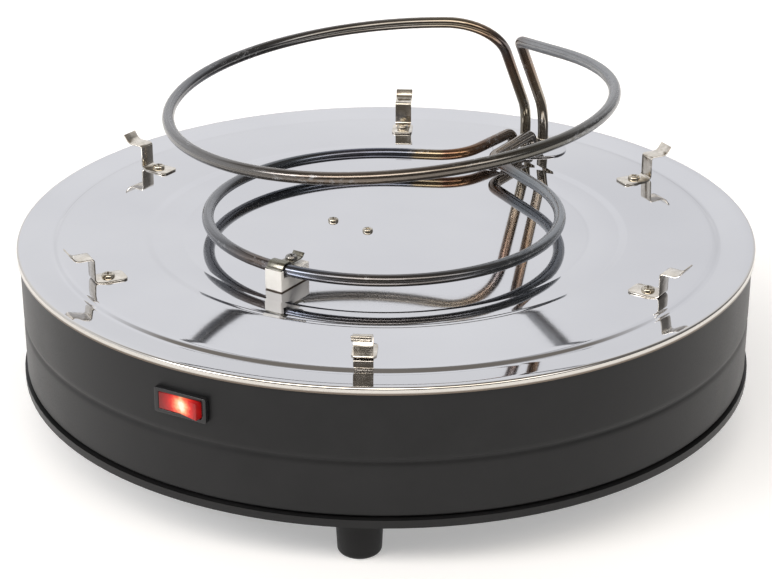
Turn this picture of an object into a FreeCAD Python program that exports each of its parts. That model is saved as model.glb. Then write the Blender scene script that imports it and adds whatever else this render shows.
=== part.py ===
import FreeCAD, Part
import Sketcher
import math
import os
import re

# Heater base of a round table-top oven: two tubular elements over a polished plate
# on a black drum. Millimetres. Origin on the floor under the centre, front clip at -Y.

os.makedirs("parts", exist_ok=True)
doc = FreeCAD.newDocument("heater_base")

SIZES = {
    # polished plate
    "plate_radius": 205.0,
    "plate_gauge": 0.8,
    "rim_rise": 2.3,
    "rim_curl": 1.6,
    "skirt_drop": 4.0,
    "rim_width": 19.4,
    "step_run": 3.0,
    "step_height": 1.2,
    "dish_margin": 27.4,
    "dish_run": 10.5,
    "dish_depth": 1.8,
    # drum wall
    "skirt_play": 0.35,
    "seat_play": 0.05,
    "wall_height": 68.5,
    "wall_gauge": 0.8,
    "bead_height": 30.1,
    "bead_width": 4.0,
    "bead_depth": 0.7,
    "wall_flange": 11.4,
    # bottom pan
    "pan_gauge": 1.0,
    "lip_overhang": 1.55,
    "lip_height": 4.3,
    "lip_drop": 1.0,
    "seam_gap": 1.4,
    "land_setback": 2.4,
    "land_width": 9.0,
    "vent_setback": 97.45,
    "vent_radius": 3.0,
    "vent_count": 16.0,
    # feet
    "foot_height": 31.2,
    "foot_setback": 17.45,
    "foot_top_radius": 12.7,
    "foot_tip_radius": 11.3,
    "foot_turn": -0.7,
    "foot_edge": 2.5,
    "foot_well_play": 1.0,
    "foot_web": 12.2,
    # screws and nuts
    "screw_radius": 1.95,
    "screw_play": 0.25,
    "screw_head": 3.6,
    "screw_head_height": 2.2,
    "head_edge": 0.9,
    "small_screw": 1.45,
    "small_play": 0.25,
    "small_head": 3.0,
    "small_head_height": 1.7,
    "nut_flats": 7.0,
    "nut_height": 3.2,
    "small_nut_flats": 5.5,
    "small_nut_height": 2.4,
    "thread_play": 0.05,
    "thread_end": 1.0,
    "pan_screw_head": 2.9,
    "pan_screw_azimuth": 15.0,
    "tie_setback": 42.45,
    "tie_azimuth": 20.0,
    # tubular elements
    "tube_radius": 3.25,
    "tube_play": 0.2,
    "heater_tail": 24.0,
    "upper_ring": 120.2,
    "upper_x": 3.4,
    "upper_y": -16.0,
    "upper_lift": 85.2,
    "upper_tilt": 4.96,
    "upper_tilt_azimuth": 17.2,
    "upper_droop": 2.67,
    "upper_left_end": 79.0,
    "upper_left_reach": 32.9,
    "upper_left_bend": 31.0,
    "upper_left_out": 12.83,
    "upper_left_azimuth": 62.32,
    "upper_right_end": 38.55,
    "upper_right_reach": 40.6,
    "upper_right_bend": 5.8,
    "upper_right_out": 16.48,
    "upper_right_azimuth": 58.75,
    "knee_lift": 22.1,
    "left_knee_bend": 26.0,
    "right_knee_bend": 35.5,
    "lower_ring": 98.6,
    "lower_x": -1.24,
    "lower_y": 0.86,
    "lower_lift": 9.48,
    "lower_tilt": 0.614,
    "lower_tilt_azimuth": 259.6,
    "lower_left_end": 87.45,
    "lower_left_reach": 36.25,
    "lower_left_bend": 30.0,
    "lower_left_lift": 10.3,
    "lower_left_out": 0.63,
    "lower_left_azimuth": 63.16,
    "lower_right_end": 31.0,
    "lower_right_reach": 51.0,
    "lower_right_bend": 12.8,
    "lower_right_lift": 8.6,
    "lower_right_out": 7.88,
    "lower_right_azimuth": 59.72,
    "lower_drop_bend": 6.0,
    "collar_radius": 4.3,
    "collar_height": 2.2,
    "ferrule_seat": 0.5,
    "ferrule_height": 4.5,
    "seal_radius": 2.9,
    "seal_height": 4.0,
    "pin_radius": 1.2,
    "pin_length": 11.0,
    # flange under the terminals
    "flange_out": 3.48,
    "flange_azimuth": 59.53,
    "flange_turn": 6.0,
    "flange_length": 45.0,
    "flange_width": 38.0,
    "flange_corner": 14.0,
    "flange_gauge": 0.8,
    # ceramic support
    "support_azimuth": 240.0,
    "support_tail": 19.0,
    "support_nose": 6.0,
    "support_width": 10.8,
    "support_height": 12.0,
    "support_tail_drop": 2.4,
    "strap_screw_reach": 10.5,
    "groove_play": 0.2,
    "strap_width": 10.0,
    "strap_tab_width": 7.0,
    "strap_head": 3.3,
    "strap_head_height": 2.2,
    "strap_gauge": 0.8,
    "strap_reach": 17.8,
    "strap_curl": 2.0,
    # carrier clips
    "clip_first": 30.0,
    "clip_gauge": 0.8,
    "clip_width": 10.0,
    "clip_tab_width": 12.6,
    "clip_tab_length": 18.5,
    "clip_tab_corner": 3.0,
    "clip_screw_setback": 9.1,
    "clip_setback": 9.1,
    "clip_ledge_length": 9.5,
    "clip_lip_length": 3.0,
    "clip_ledge": 14.5,
    "clip_rise": 4.8,
    "clip_bend": 1.6,
    "clip_inner_bend": 0.8,
    # thermostat
    "thermostat_x": -20.4,
    "thermostat_y": 3.8,
    "thermostat_turn": -33.8,
    "thermostat_pitch": 24.8,
    "thermostat_ear": 33.0,
    "thermostat_ear_width": 9.0,
    "thermostat_ear_gauge": 1.0,
    "thermostat_cup": 8.2,
    "thermostat_cup_height": 4.0,
    "thermostat_base": 9.2,
    "thermostat_base_height": 8.0,
    # rocker switch
    "switch_azimuth": 244.5,
    "switch_drop": 19.7,
    "bezel_side": 1.8,
    "bezel_top": 1.0,
    "bezel_depth": 2.6,
    "bezel_edge": 0.6,
    "bezel_seat": 0.05,
    "switch_length": 26.6,
    "switch_width": 11.4,
    "switch_depth": 20.0,
    "opening_play": 0.3,
    "switch_end_wall": 0.7,
    "switch_side_wall": 0.95,
    "window_depth": 10.5,
    "rocker_end_play": 0.6,
    "rocker_side_play": 0.2,
    "rocker_tilt": 7.0,
    "rocker_face": 3.2,
    "rocker_flank": 5.0,
    "rocker_back": 3.0,
    "rocker_back_length": 8.0,
    "pivot_radius": 1.0,
    "pivot_reach": 0.9,
    "pivot_play": 0.05,
    "lamp_radius": 1.2,
    "lamp_length": 10.0,
    "lamp_play": 0.05,
    "blade_width": 4.8,
    "blade_gauge": 0.8,
    "blade_length": 8.0,
    "blade_pitch": 9.0,
    # cord gland, left empty
    "gland_azimuth": 60.0,
    "gland_rise": 20.1,
    "gland_flange_reach": 3.0,
    "gland_flange_depth": 3.0,
    "gland_nose_reach": 0.6,
    "gland_nose_depth": 6.0,
    "gland_wall": 2.25,
    "gland_neck_depth": 12.0,
    "gland_bore": 3.75,
    "gland_play": 0.2,
    "gland_nut_flats": 17.0,
    "gland_nut_height": 4.0,
    "gland_nut_seat": 0.35,
    # terminal block and earth stud
    "block_setback": 36.45,
    "block_turn": 60.0,
    "block_length": 36.0,
    "block_width": 18.0,
    "block_height": 15.0,
    "block_pitch": 9.0,
    "block_well": 2.2,
    "block_well_depth": 7.0,
    "block_screw_pitch": 29.0,
    "earth_setback": 42.45,
    "earth_azimuth": 84.0,
    "earth_length": 12.0,
    "earth_tag_radius": 4.0,
    "earth_tag_gauge": 1.0,
    # insulated leads inside the drum
    "lead_radius": 1.1,
    "lead_bend": 6.5,
    "lead_run": 14.0,
    "live_run": 20.0,
    "earth_run": 8.0,
    "switched_drop": 22.0,
    "thermostat_drop": 13.5,
    "link_drop": 7.5,
    "link_bend": 3.6,
    "neutral_drop": 10.5,
}

# heights and radii that follow from the sizes
DERIVED = {
    "step_radius": "plate_radius - rim_width",
    "step_top": "step_radius - step_run",
    "dish_radius": "lower_ring + dish_margin",
    "lip_z": "foot_height - lip_drop",
    "shelf_z": "lip_z + lip_height",
    "land_z": "shelf_z + seam_gap",
    "pan_top": "foot_height + pan_gauge",
    "plate_z": "land_z + wall_height",
    "deck_z": "plate_z + step_height",
    "dish_z": "deck_z - dish_depth",
    "deck_under": "deck_z - plate_gauge",
    "dish_under": "dish_z - plate_gauge",
    "crest_z": "plate_z + rim_rise",
    "rim_slope": "rim_rise / (plate_radius - step_radius)",
    "wall_radius": "plate_radius - plate_gauge - skirt_play",
    "wall_inner": "wall_radius - wall_gauge",
    "wall_top": "plate_z + rim_slope * (wall_inner - step_radius) - plate_gauge * 1.02 - seat_play",
    "bead_z": "land_z + bead_height",
    "land_outer": "wall_radius - land_setback",
    "land_inner": "land_outer - land_width",
    "lip_radius": "wall_radius + lip_overhang",
    "vent_circle": "land_inner - vent_setback",
    "foot_circle": "land_inner - foot_setback",
    "foot_well_radius": "screw_head + foot_well_play",
    "foot_well_depth": "foot_height - foot_web",
    "tie_circle": "land_inner - tie_setback",
    "screw_hole": "screw_radius + screw_play",
    "small_hole": "small_screw + small_play",
    "pan_screw_circle": "land_outer - land_width / 2",
    "nut_bore": "screw_radius + thread_play",
    "small_nut_bore": "small_screw + thread_play",
    "tube_hole": "tube_radius + tube_play",
    "tube_bore": "tube_radius + thread_play",
    "tail_z": "plate_z - heater_tail",
    "ferrule_top": "plate_z - plate_gauge - ferrule_seat",
    "deck_middle": "(dish_radius + step_top) / 2",
    "flange_top": "deck_z + flange_gauge",
    "upper_left_circle": "deck_middle + upper_left_out",
    "upper_right_circle": "deck_middle + upper_right_out",
    "lower_left_circle": "deck_middle + lower_left_out",
    "lower_right_circle": "deck_middle + lower_right_out",
    "flange_circle": "deck_middle + flange_out",
    "upper_z": "plate_z + upper_lift",
    "knee_z": "plate_z + knee_lift",
    "lower_z": "plate_z + lower_lift",
    "lower_left_z": "plate_z + lower_left_lift",
    "lower_right_z": "plate_z + lower_right_lift",
    "seat_z": "lower_z + lower_ring * sin(lower_tilt) * cos(support_azimuth - lower_tilt_azimuth)",
    "support_inner": "lower_ring - support_tail",
    "support_outer": "lower_ring + support_nose",
    "support_screw_circle": "lower_ring - strap_screw_reach",
    "strap_tip": "lower_ring - strap_reach",
    "support_top": "dish_z + support_height",
    "groove_half": "tube_radius + groove_play",
    "hump_z": "seat_z + tube_radius + groove_play",
    "clip_riser": "step_top - clip_setback",
    "clip_tab": "clip_riser - clip_tab_length",
    "clip_circle": "clip_riser - clip_screw_setback",
    "clip_valley": "clip_riser + clip_ledge_length",
    "clip_tip": "clip_valley + clip_lip_length",
    "ledge_z": "deck_z + clip_ledge",
    "clip_face": "clip_riser - clip_gauge",
    "switch_height": "plate_z - switch_drop",
    "bezel_length": "switch_length + 2 * bezel_side",
    "bezel_width": "switch_width + 2 * bezel_top",
    "window_length": "switch_length - 2 * switch_end_wall",
    "window_width": "switch_width - 2 * switch_side_wall",
    "rocker_length": "window_length - 2 * rocker_end_play",
    "rocker_width": "window_width - 2 * rocker_side_play",
    "pivot_length": "rocker_width + 2 * pivot_reach",
    "bezel_back": "wall_radius + bezel_seat",
    "bezel_front": "bezel_back + bezel_depth",
    "switch_back": "wall_radius - switch_depth",
    "pivot_x": "bezel_front - rocker_face",
    "rocker_end": "rocker_face + rocker_length / 2 * tan(rocker_tilt)",
    "lamp_x": "bezel_front - window_depth + lamp_radius + lamp_play",
    "gland_height": "land_z + gland_rise",
    "gland_neck": "gland_bore + gland_wall",
    "gland_flange": "gland_neck + gland_flange_reach",
    "gland_nose": "gland_neck + gland_nose_reach",
    "gland_seat": "wall_radius + bezel_seat",
    "gland_nut_face": "wall_inner - gland_nut_seat",
    "block_circle": "land_inner - block_setback",
    "earth_circle": "land_inner - earth_setback",
    "block_top": "pan_top + block_height",
    "ear_z": "dish_under - thermostat_ear_gauge",
    "cup_z": "ear_z - thermostat_cup_height",
    "base_z": "cup_z - thermostat_base_height",
    "blade_end": "base_z - blade_length",
    "pin_end": "tail_z - pin_length",
    "lead_z": "pan_top + nut_height + earth_tag_gauge / 2",
}

sheet = doc.addObject("Spreadsheet::Sheet", "Sizes")
for row, (alias, number) in enumerate(SIZES.items(), start=1):
    sheet.set("A%d" % row, alias)
    sheet.set("B%d" % row, str(number))
    sheet.setAlias("B%d" % row, alias)
doc.recompute()

NAME = re.compile(r"[a-z_]+")
UP = FreeCAD.Vector(0, 0, 1)
nodes = []


# helpers

def formula(text):
    """Spell out derived names and point every size at its cell."""
    def spell(match):
        word = match.group()
        if word in DERIVED:
            return "(" + formula(DERIVED[word]) + ")"
        if word in SIZES:
            return "Sizes." + word
        return word
    return NAME.sub(spell, text)


def value(text):
    """The number a formula gives with the sizes as they stand."""
    return float(sheet.evalExpression(formula(text)))


def bind(thing, setting, text):
    """Let a setting follow a formula."""
    thing.setExpression(setting, formula(text))


def polar(radius, azimuth):
    """A place on a circle about the vertical axis."""
    return ("(%s) * cos(%s)" % (radius, azimuth), "(%s) * sin(%s)" % (radius, azimuth))


def ring(radius, first, count):
    """Evenly spaced places on a circle."""
    return [polar(radius, "%s + %g" % (first, 360.0 / count * turn)) for turn in range(count)]


def new_body(label):
    """An empty body that may hold several like solids."""
    body = doc.addObject("PartDesign::Body", label)
    body.Label = label
    body.AllowCompound = True
    nodes.append(body)
    return body


def settle(body, azimuth=None, x=None, y=None, z=None):
    """Turn a body about the vertical axis and shift it."""
    for axis, text in (("x", x), ("y", y), ("z", z)):
        if text:
            bind(body, "Placement.Base." + axis, text)
    if azimuth:
        body.Placement.Rotation = FreeCAD.Rotation(FreeCAD.Vector(0, 0, 1), value(azimuth))
        bind(body, "Placement.Rotation.Angle", azimuth)


def sketch_on(body, role, lift=None, azimuth=None):
    """A sketch on one of the body's own planes, lifted or turned off it."""
    sketch = body.newObject("Sketcher::SketchObject", body.Label + "_outline")
    plane = [feature for feature in body.Origin.OriginFeatures if feature.Role == role][0]
    sketch.AttachmentSupport = [(plane, "")]
    sketch.MapMode = "FlatFace"
    if azimuth:
        turn = FreeCAD.Rotation(FreeCAD.Vector(0, 1, 0), value(azimuth))
        sketch.AttachmentOffset = FreeCAD.Placement(FreeCAD.Vector(0, 0, 0), turn)
        bind(sketch, "AttachmentOffset.Rotation.Angle", azimuth)
    if lift:
        bind(sketch, "AttachmentOffset.Base.z", lift)
    return sketch


def pin_point(sketch, curve, end, x, y):
    """Hold one point of a curve at its distances from the sketch's origin."""
    for kind, text in (("DistanceX", x), ("DistanceY", y)):
        rule = Sketcher.Constraint(kind, -1, 1, curve, end, value(text))
        index = sketch.addConstraint(rule)
        bind(sketch, "Constraints[%d]" % index, text)


def outline(sketch, corners):
    """A closed run of straight lines through the corners."""
    points = [FreeCAD.Vector(value(x), value(y), 0) for x, y in corners]
    first = sketch.GeometryCount
    count = len(points)
    for index, point in enumerate(points):
        sketch.addGeometry(Part.LineSegment(point, points[(index + 1) % count]), False)
    for index in range(count):
        following = first + (index + 1) % count
        sketch.addConstraint(Sketcher.Constraint("Coincident", first + index, 2, following, 1))
    for index, (x, y) in enumerate(corners):
        pin_point(sketch, first + index, 1, x, y)
    return sketch


def rectangle(sketch, length, width, x="0", y="0"):
    """A rectangle centred on a point."""
    low_x, high_x = "%s - (%s) / 2" % (x, length), "%s + (%s) / 2" % (x, length)
    low_y, high_y = "%s - (%s) / 2" % (y, width), "%s + (%s) / 2" % (y, width)
    return outline(sketch, [(low_x, low_y), (high_x, low_y), (high_x, high_y), (low_x, high_y)])


def circle(sketch, radius, x="0", y="0"):
    """A circle held at a point."""
    centre = FreeCAD.Vector(value(x), value(y), 0)
    index = sketch.addGeometry(Part.Circle(centre, FreeCAD.Vector(0, 0, 1), value(radius)), False)
    pin_point(sketch, index, 3, x, y)
    rule = sketch.addConstraint(Sketcher.Constraint("Radius", index, value(radius)))
    bind(sketch, "Constraints[%d]" % rule, radius)
    return sketch


def hexagon(sketch, flats, x, y):
    """A hexagon of the given width across its flats."""
    reach = "(%s) / 2 / cos(30)" % flats
    corners = []
    for turn in range(0, 360, 60):
        corners.append(("%s + %s * cos(%d)" % (x, reach, turn), "%s + %s * sin(%d)" % (y, reach, turn)))
    return outline(sketch, corners)


def pad(body, sketch, length, both_ways=False):
    """Raise a sketch along its normal, or half to each side."""
    feature = body.newObject("PartDesign::Pad", body.Label + "_pad")
    feature.Profile = sketch
    bind(feature, "Length", length)
    if both_ways:
        feature.SideType = "Symmetric"
    doc.recompute()
    return feature


def pocket(body, sketch, length=None):
    """Cut a sketch down by a length, or right through along its normal."""
    feature = body.newObject("PartDesign::Pocket", body.Label + "_pocket")
    feature.Profile = sketch
    if length:
        bind(feature, "Length", length)
    else:
        feature.Type = "ThroughAll"
        feature.Reversed = True
    doc.recompute()
    return feature


def spin(body, sketch):
    """Turn a profile round the vertical axis."""
    feature = body.newObject("PartDesign::Revolution", body.Label + "_turned")
    feature.Profile = sketch
    feature.ReferenceAxis = (sketch, ["V_Axis"])
    feature.Angle = 360
    doc.recompute()
    return feature


def soften(body, test, radius):
    """Round the edges whose middle point passes a test."""
    tip = body.Tip
    names = []
    for index, edge in enumerate(tip.Shape.Edges, start=1):
        middle = edge.valueAt((edge.FirstParameter + edge.LastParameter) / 2)
        if test(edge, middle):
            names.append("Edge%d" % index)
    feature = body.newObject("PartDesign::Fillet", body.Label + "_round")
    feature.Base = (tip, names)
    bind(feature, "Radius", radius)
    doc.recompute()
    return feature


def near(number, text):
    """Whether a coordinate lies where a formula puts it."""
    return abs(number - value(text)) < 0.02


def stack(label, places, layers, head=None):
    """Round or hexagonal layers one above another, repeated at every place.

    A layer is (kind, size, bore, low, high); head is the height of an edge to round.
    """
    body = new_body(label)
    for kind, size, bore, low, high in layers:
        sketch = sketch_on(body, "XY_Plane", low)
        for x, y in places:
            if kind == "hexagon":
                hexagon(sketch, size, x, y)
            else:
                circle(sketch, size, x, y)
            if bore:
                circle(sketch, bore, x, y)
        pad(body, sketch, "(%s) - (%s)" % (high, low))
    if head:
        def at_head(edge, middle):
            return near(middle.z, head) and near(edge.BoundBox.ZLength, "0")
        soften(body, at_head, "head_edge")
    return body


def drill(body, places, radius):
    """Holes right through a body along the vertical axis."""
    sketch = sketch_on(body, "XY_Plane")
    for x, y in places:
        circle(sketch, radius, x, y)
    return pocket(body, sketch)


def above(place, height):
    """The point at a height over a place in plan."""
    return FreeCAD.Vector(value(place[0]), value(place[1]), value(height))


def unit(vector):
    """A vector of the same direction and length one."""
    return FreeCAD.Vector(vector).normalize()


def bent_run(points, radii):
    """Straight runs through the points, joined at the inner ones by tangent arcs."""
    edges = []
    start = points[0]
    for before, corner, after, radius in zip(points, points[1:], points[2:], radii):
        back = unit(before - corner)
        ahead = unit(after - corner)
        half = back.getAngle(ahead) / 2
        reach = radius / math.tan(half)
        inside = unit(back + ahead) * (radius / math.sin(half) - radius)
        entry = corner + back * reach
        leave = corner + ahead * reach
        edges.append(Part.makeLine(start, entry))
        edges.append(Part.Arc(entry, corner + inside, leave).toShape())
        start = leave
    edges.append(Part.makeLine(start, points[-1]))
    return edges


def tube(label, edges, start, heading, radius):
    """A round rod swept along joined edges from a start point and heading."""
    spine = doc.addObject("Part::Feature", label + "_spine")
    spine.Shape = Part.Wire(edges)
    section = doc.addObject("Part::Circle", label + "_section")
    section.Placement = FreeCAD.Placement(start, FreeCAD.Rotation(UP, heading))
    bind(section, "Radius", radius)
    sweep = doc.addObject("Part::Sweep", label)
    sweep.Label = label
    sweep.Sections = [section]
    sweep.Spine = (spine, ["Edge%d" % (index + 1) for index in range(len(edges))])
    sweep.Solid = True
    nodes.append(sweep)
    doc.recompute()
    return sweep


# places shared by several pieces

clip_places = ring("clip_circle", "clip_first", 6)
foot_places = ring("foot_circle", "foot_turn", 4)
tie_places = ring("tie_circle", "tie_azimuth", 3)
pan_screw_places = ring("pan_screw_circle", "pan_screw_azimuth", 6)
upper_legs = [
    polar("upper_left_circle", "upper_left_azimuth"),
    polar("upper_right_circle", "upper_right_azimuth"),
]
lower_legs = [
    polar("lower_left_circle", "lower_left_azimuth"),
    polar("lower_right_circle", "lower_right_azimuth"),
]
flange_x, flange_y = polar("flange_circle", "flange_azimuth")
block_x, block_y = polar("block_circle", "block_turn")
support_screw_place = [tuple("%s + %s" % pair for pair in zip(
    ("lower_x", "lower_y"), polar("support_screw_circle", "support_azimuth")))]
thermostat_places = []
for side in ("-", "+"):
    thermostat_places.append((
        "thermostat_x %s thermostat_pitch / 2 * cos(thermostat_turn)" % side,
        "thermostat_y %s thermostat_pitch / 2 * sin(thermostat_turn)" % side))
block_screw_places = []
for side in ("-", "+"):
    block_screw_places.append((
        "%s %s block_screw_pitch / 2 * sin(block_turn)" % (block_x, side),
        "%s %s block_screw_pitch / 2 * (0 - cos(block_turn))" % (block_y, side)))
block_well_places = []
for place in ("-1", "0", "1"):
    block_well_places.append((
        "%s + (%s) * block_pitch * sin(block_turn)" % (block_x, place),
        "%s - (%s) * block_pitch * cos(block_turn)" % (block_y, place)))
earth_place = [polar("earth_circle", "earth_azimuth")]


# polished plate: dish, deck, step, rising rim and skirt in one sheet

plate = new_body("top_plate")
rim_fall = "plate_gauge * 1.02"
outline(sketch_on(plate, "XZ_Plane"), [
    ("0", "dish_z"),
    ("dish_radius - dish_run", "dish_z"),
    ("dish_radius", "deck_z"),
    ("step_radius - step_run", "deck_z"),
    ("step_radius", "plate_z"),
    ("plate_radius", "crest_z"),
    ("plate_radius", "crest_z - skirt_drop"),
    ("plate_radius - plate_gauge", "crest_z - skirt_drop"),
    ("plate_radius - plate_gauge", "crest_z - rim_slope * plate_gauge - " + rim_fall),
    ("step_radius", "plate_z - " + rim_fall),
    ("step_radius - step_run", "deck_under"),
    ("dish_radius", "deck_under"),
    ("dish_radius - dish_run", "dish_under"),
    ("0", "dish_under"),
])
spin(plate, plate.Group[-1])


def at_crest(edge, middle):
    """The outer edge at the top of the rim."""
    return near(middle.z, "crest_z") and near(edge.BoundBox.ZLength, "0")


soften(plate, at_crest, "rim_curl")
drill(plate, clip_places, "screw_hole")
drill(plate, upper_legs + lower_legs, "tube_hole")
drill(plate, thermostat_places + support_screw_place, "small_hole")


# drum wall: rolled bead, inward flange at the foot, switch opening and gland hole

drum = new_body("drum_wall")
spin(drum, outline(sketch_on(drum, "XZ_Plane"), [
    ("wall_radius", "land_z"),
    ("wall_radius", "bead_z - bead_width / 2"),
    ("wall_radius - bead_depth", "bead_z"),
    ("wall_radius", "bead_z + bead_width / 2"),
    ("wall_radius", "wall_top"),
    ("wall_inner", "wall_top"),
    ("wall_inner", "bead_z + bead_width / 2"),
    ("wall_inner - bead_depth", "bead_z"),
    ("wall_inner", "bead_z - bead_width / 2"),
    ("wall_inner", "land_z + wall_gauge"),
    ("wall_radius - wall_flange", "land_z + wall_gauge"),
    ("wall_radius - wall_flange", "land_z"),
]))
pocket(drum, rectangle(
    sketch_on(drum, "YZ_Plane", azimuth="switch_azimuth"),
    "switch_length + 2 * opening_play", "switch_width + 2 * opening_play", y="switch_height"))
pocket(drum, circle(
    sketch_on(drum, "YZ_Plane", azimuth="gland_azimuth"), "gland_neck + gland_play", y="gland_height"))
drill(drum, pan_screw_places, "screw_hole")


# bottom pan: floor, raised land under the drum, shelf and lip

pan = new_body("bottom_pan")
spin(pan, outline(sketch_on(pan, "XZ_Plane"), [
    ("0", "pan_top"),
    ("land_inner", "pan_top"),
    ("land_inner", "land_z"),
    ("land_outer", "land_z"),
    ("land_outer", "shelf_z"),
    ("lip_radius", "shelf_z"),
    ("lip_radius", "lip_z"),
    ("lip_radius - pan_gauge", "lip_z"),
    ("lip_radius - pan_gauge", "shelf_z - pan_gauge"),
    ("land_outer - pan_gauge", "shelf_z - pan_gauge"),
    ("land_outer - pan_gauge", "land_z - pan_gauge"),
    ("land_inner + pan_gauge", "land_z - pan_gauge"),
    ("land_inner + pan_gauge", "foot_height"),
    ("0", "foot_height"),
]))
drill(pan, pan_screw_places + foot_places + tie_places, "screw_hole")
drill(pan, block_screw_places, "small_hole")
vents = drill(pan, [("vent_circle", "0")], "vent_radius")
pattern = pan.newObject("PartDesign::PolarPattern", "bottom_pan_vents")
pattern.Originals = [vents]
pattern.Axis = (vents.Profile[0], ["N_Axis"])
pattern.Angle = 360
bind(pattern, "Occurrences", "vent_count")
pan.Tip = pattern
doc.recompute()


# feet with the screws and nuts that hold them

foot_names = ("foot_right", "foot_rear", "foot_left", "foot_front")
for name, (x, y) in zip(foot_names, foot_places):
    foot = new_body(name)
    spin(foot, outline(sketch_on(foot, "XZ_Plane"), [
        ("foot_well_radius", "0"),
        ("foot_tip_radius", "0"),
        ("foot_top_radius", "foot_height"),
        ("screw_hole", "foot_height"),
        ("screw_hole", "foot_well_depth"),
        ("foot_well_radius", "foot_well_depth"),
    ]))

    def at_tip(edge, middle):
        """The outer edge of the resting face."""
        return near(middle.z, "0") and near(edge.BoundBox.XMax, "foot_tip_radius")

    soften(foot, at_tip, "foot_edge")
    settle(foot, x=x, y=y)

foot_screw_end = "pan_top + nut_height + thread_end"
stack("foot_screws", foot_places, [
    ("round", "screw_head", None, "foot_well_depth - screw_head_height", "foot_well_depth"),
    ("round", "screw_radius", None, "foot_well_depth", foot_screw_end),
])
stack("foot_nuts", foot_places, [("hexagon", "nut_flats", "nut_bore", "pan_top", "pan_top + nut_height")])


# screws that hold the pan to the drum, and the rods that hold the plate down

pan_screw_end = "land_z + wall_gauge + nut_height + thread_end"
stack("pan_screws", pan_screw_places, [
    ("round", "pan_screw_head", None, "land_z - pan_gauge - screw_head_height", "land_z - pan_gauge"),
    ("round", "screw_radius", None, "land_z - pan_gauge", pan_screw_end),
])
stack("pan_nuts", pan_screw_places, [
    ("hexagon", "nut_flats", "nut_bore", "land_z + wall_gauge", "land_z + wall_gauge + nut_height"),
])
stack("tie_rods", tie_places, [
    ("round", "screw_radius", None, "foot_height - nut_height - thread_end", "deck_under"),
])
stack("tie_nuts", tie_places, [
    ("hexagon", "nut_flats", "nut_bore", "foot_height - nut_height", "foot_height"),
    ("hexagon", "nut_flats", "nut_bore", "pan_top", "pan_top + nut_height"),
])


# upper element: a tilted ring whose right half droops, on two legs that lean in from the flange

def tilted_ring(name):
    """The point and the anticlockwise direction, by azimuth, of a ring tilted about its centre."""
    lean, rise = math.radians(value(name + "_tilt_azimuth")), math.radians(value(name + "_tilt"))
    uphill = FreeCAD.Vector(
        math.cos(lean) * math.cos(rise), math.sin(lean) * math.cos(rise), math.sin(rise))
    level = FreeCAD.Vector(-math.sin(lean), math.cos(lean), 0)
    centre = FreeCAD.Vector(value(name + "_x"), value(name + "_y"), value(name + "_z"))

    def point(azimuth):
        turn = math.radians(azimuth) - lean
        return centre + (uphill * math.cos(turn) + level * math.sin(turn)) * value(name + "_ring")

    def heading(azimuth):
        turn = math.radians(azimuth) - lean
        return level * math.cos(turn) - uphill * math.sin(turn)

    return point, heading


upper_point, upper_heading = tilted_ring("upper")
front = 270.0
hinge = upper_point(front)
droop = FreeCAD.Rotation(upper_heading(front), -value("upper_droop"))


def drooped_point(azimuth):
    """A point on the half of the ring that droops about the front."""
    return hinge + droop.multVec(upper_point(azimuth) - hinge)


left_end = value("upper_left_end")
right_end = value("upper_right_end")
left_start = above(upper_legs[0], "tail_z")
left_knee = above(upper_legs[0], "knee_z")
left_corner = upper_point(left_end) - upper_heading(left_end) * value("upper_left_reach")
right_finish = above(upper_legs[1], "tail_z")
right_knee = above(upper_legs[1], "knee_z")
right_heading = droop.multVec(upper_heading(right_end))
right_corner = drooped_point(right_end) + right_heading * value("upper_right_reach")
upper_edges = bent_run(
    [left_start, left_knee, left_corner, upper_point(left_end)],
    [value("left_knee_bend"), value("upper_left_bend")])
left_middle = (left_end + front) / 2
right_middle = (front + 360 + right_end) / 2
upper_edges.append(Part.Arc(upper_point(left_end), upper_point(left_middle), hinge).toShape())
upper_edges.append(Part.Arc(hinge, drooped_point(right_middle), drooped_point(right_end)).toShape())
upper_edges += bent_run(
    [drooped_point(right_end), right_corner, right_knee, right_finish],
    [value("upper_right_bend"), value("right_knee_bend")])
tube("upper_heater", upper_edges, left_start, UP, "tube_radius")


# lower element: a nearly level ring whose ends turn outward and then down

lower_point, lower_heading = tilted_ring("lower")
left_end = value("lower_left_end")
right_end = value("lower_right_end")
left_start = above(lower_legs[0], "tail_z")
left_top = above(lower_legs[0], "lower_left_z")
left_corner = lower_point(left_end) - lower_heading(left_end) * value("lower_left_reach")
right_finish = above(lower_legs[1], "tail_z")
right_top = above(lower_legs[1], "lower_right_z")
right_corner = lower_point(right_end) + lower_heading(right_end) * value("lower_right_reach")
lower_edges = bent_run(
    [left_start, left_top, left_corner, lower_point(left_end)],
    [value("lower_drop_bend"), value("lower_left_bend")])
lower_middle = (left_end + 360 + right_end) / 2
lower_edges.append(
    Part.Arc(lower_point(left_end), lower_point(lower_middle), lower_point(right_end)).toShape())
lower_edges += bent_run(
    [lower_point(right_end), right_corner, right_top, right_finish],
    [value("lower_right_bend"), value("lower_drop_bend")])
tube("lower_heater", lower_edges, left_start, UP, "tube_radius")


# fittings of the elements: collars on the flange, ferrules, seals and pins below the deck

legs = upper_legs + lower_legs
stack("upper_collars", upper_legs, [
    ("round", "collar_radius", "tube_bore", "flange_top", "flange_top + collar_height"),
])
stack("heater_ferrules", legs, [
    ("round", "collar_radius", "tube_bore", "ferrule_top - ferrule_height", "ferrule_top"),
])
stack("heater_seals", legs, [
    ("round", "seal_radius", "pin_radius + thread_play", "tail_z - seal_height", "tail_z"),
])
stack("heater_pins", legs, [("round", "pin_radius", None, "pin_end", "tail_z")])

flange = new_body("terminal_flange")
pad(flange, rectangle(sketch_on(flange, "XY_Plane", "deck_z"), "flange_length", "flange_width"),
    "flange_gauge")


def at_flange_corner(edge, middle):
    """The four upright corners of the flange."""
    return near(edge.BoundBox.ZLength, "flange_gauge")


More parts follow.
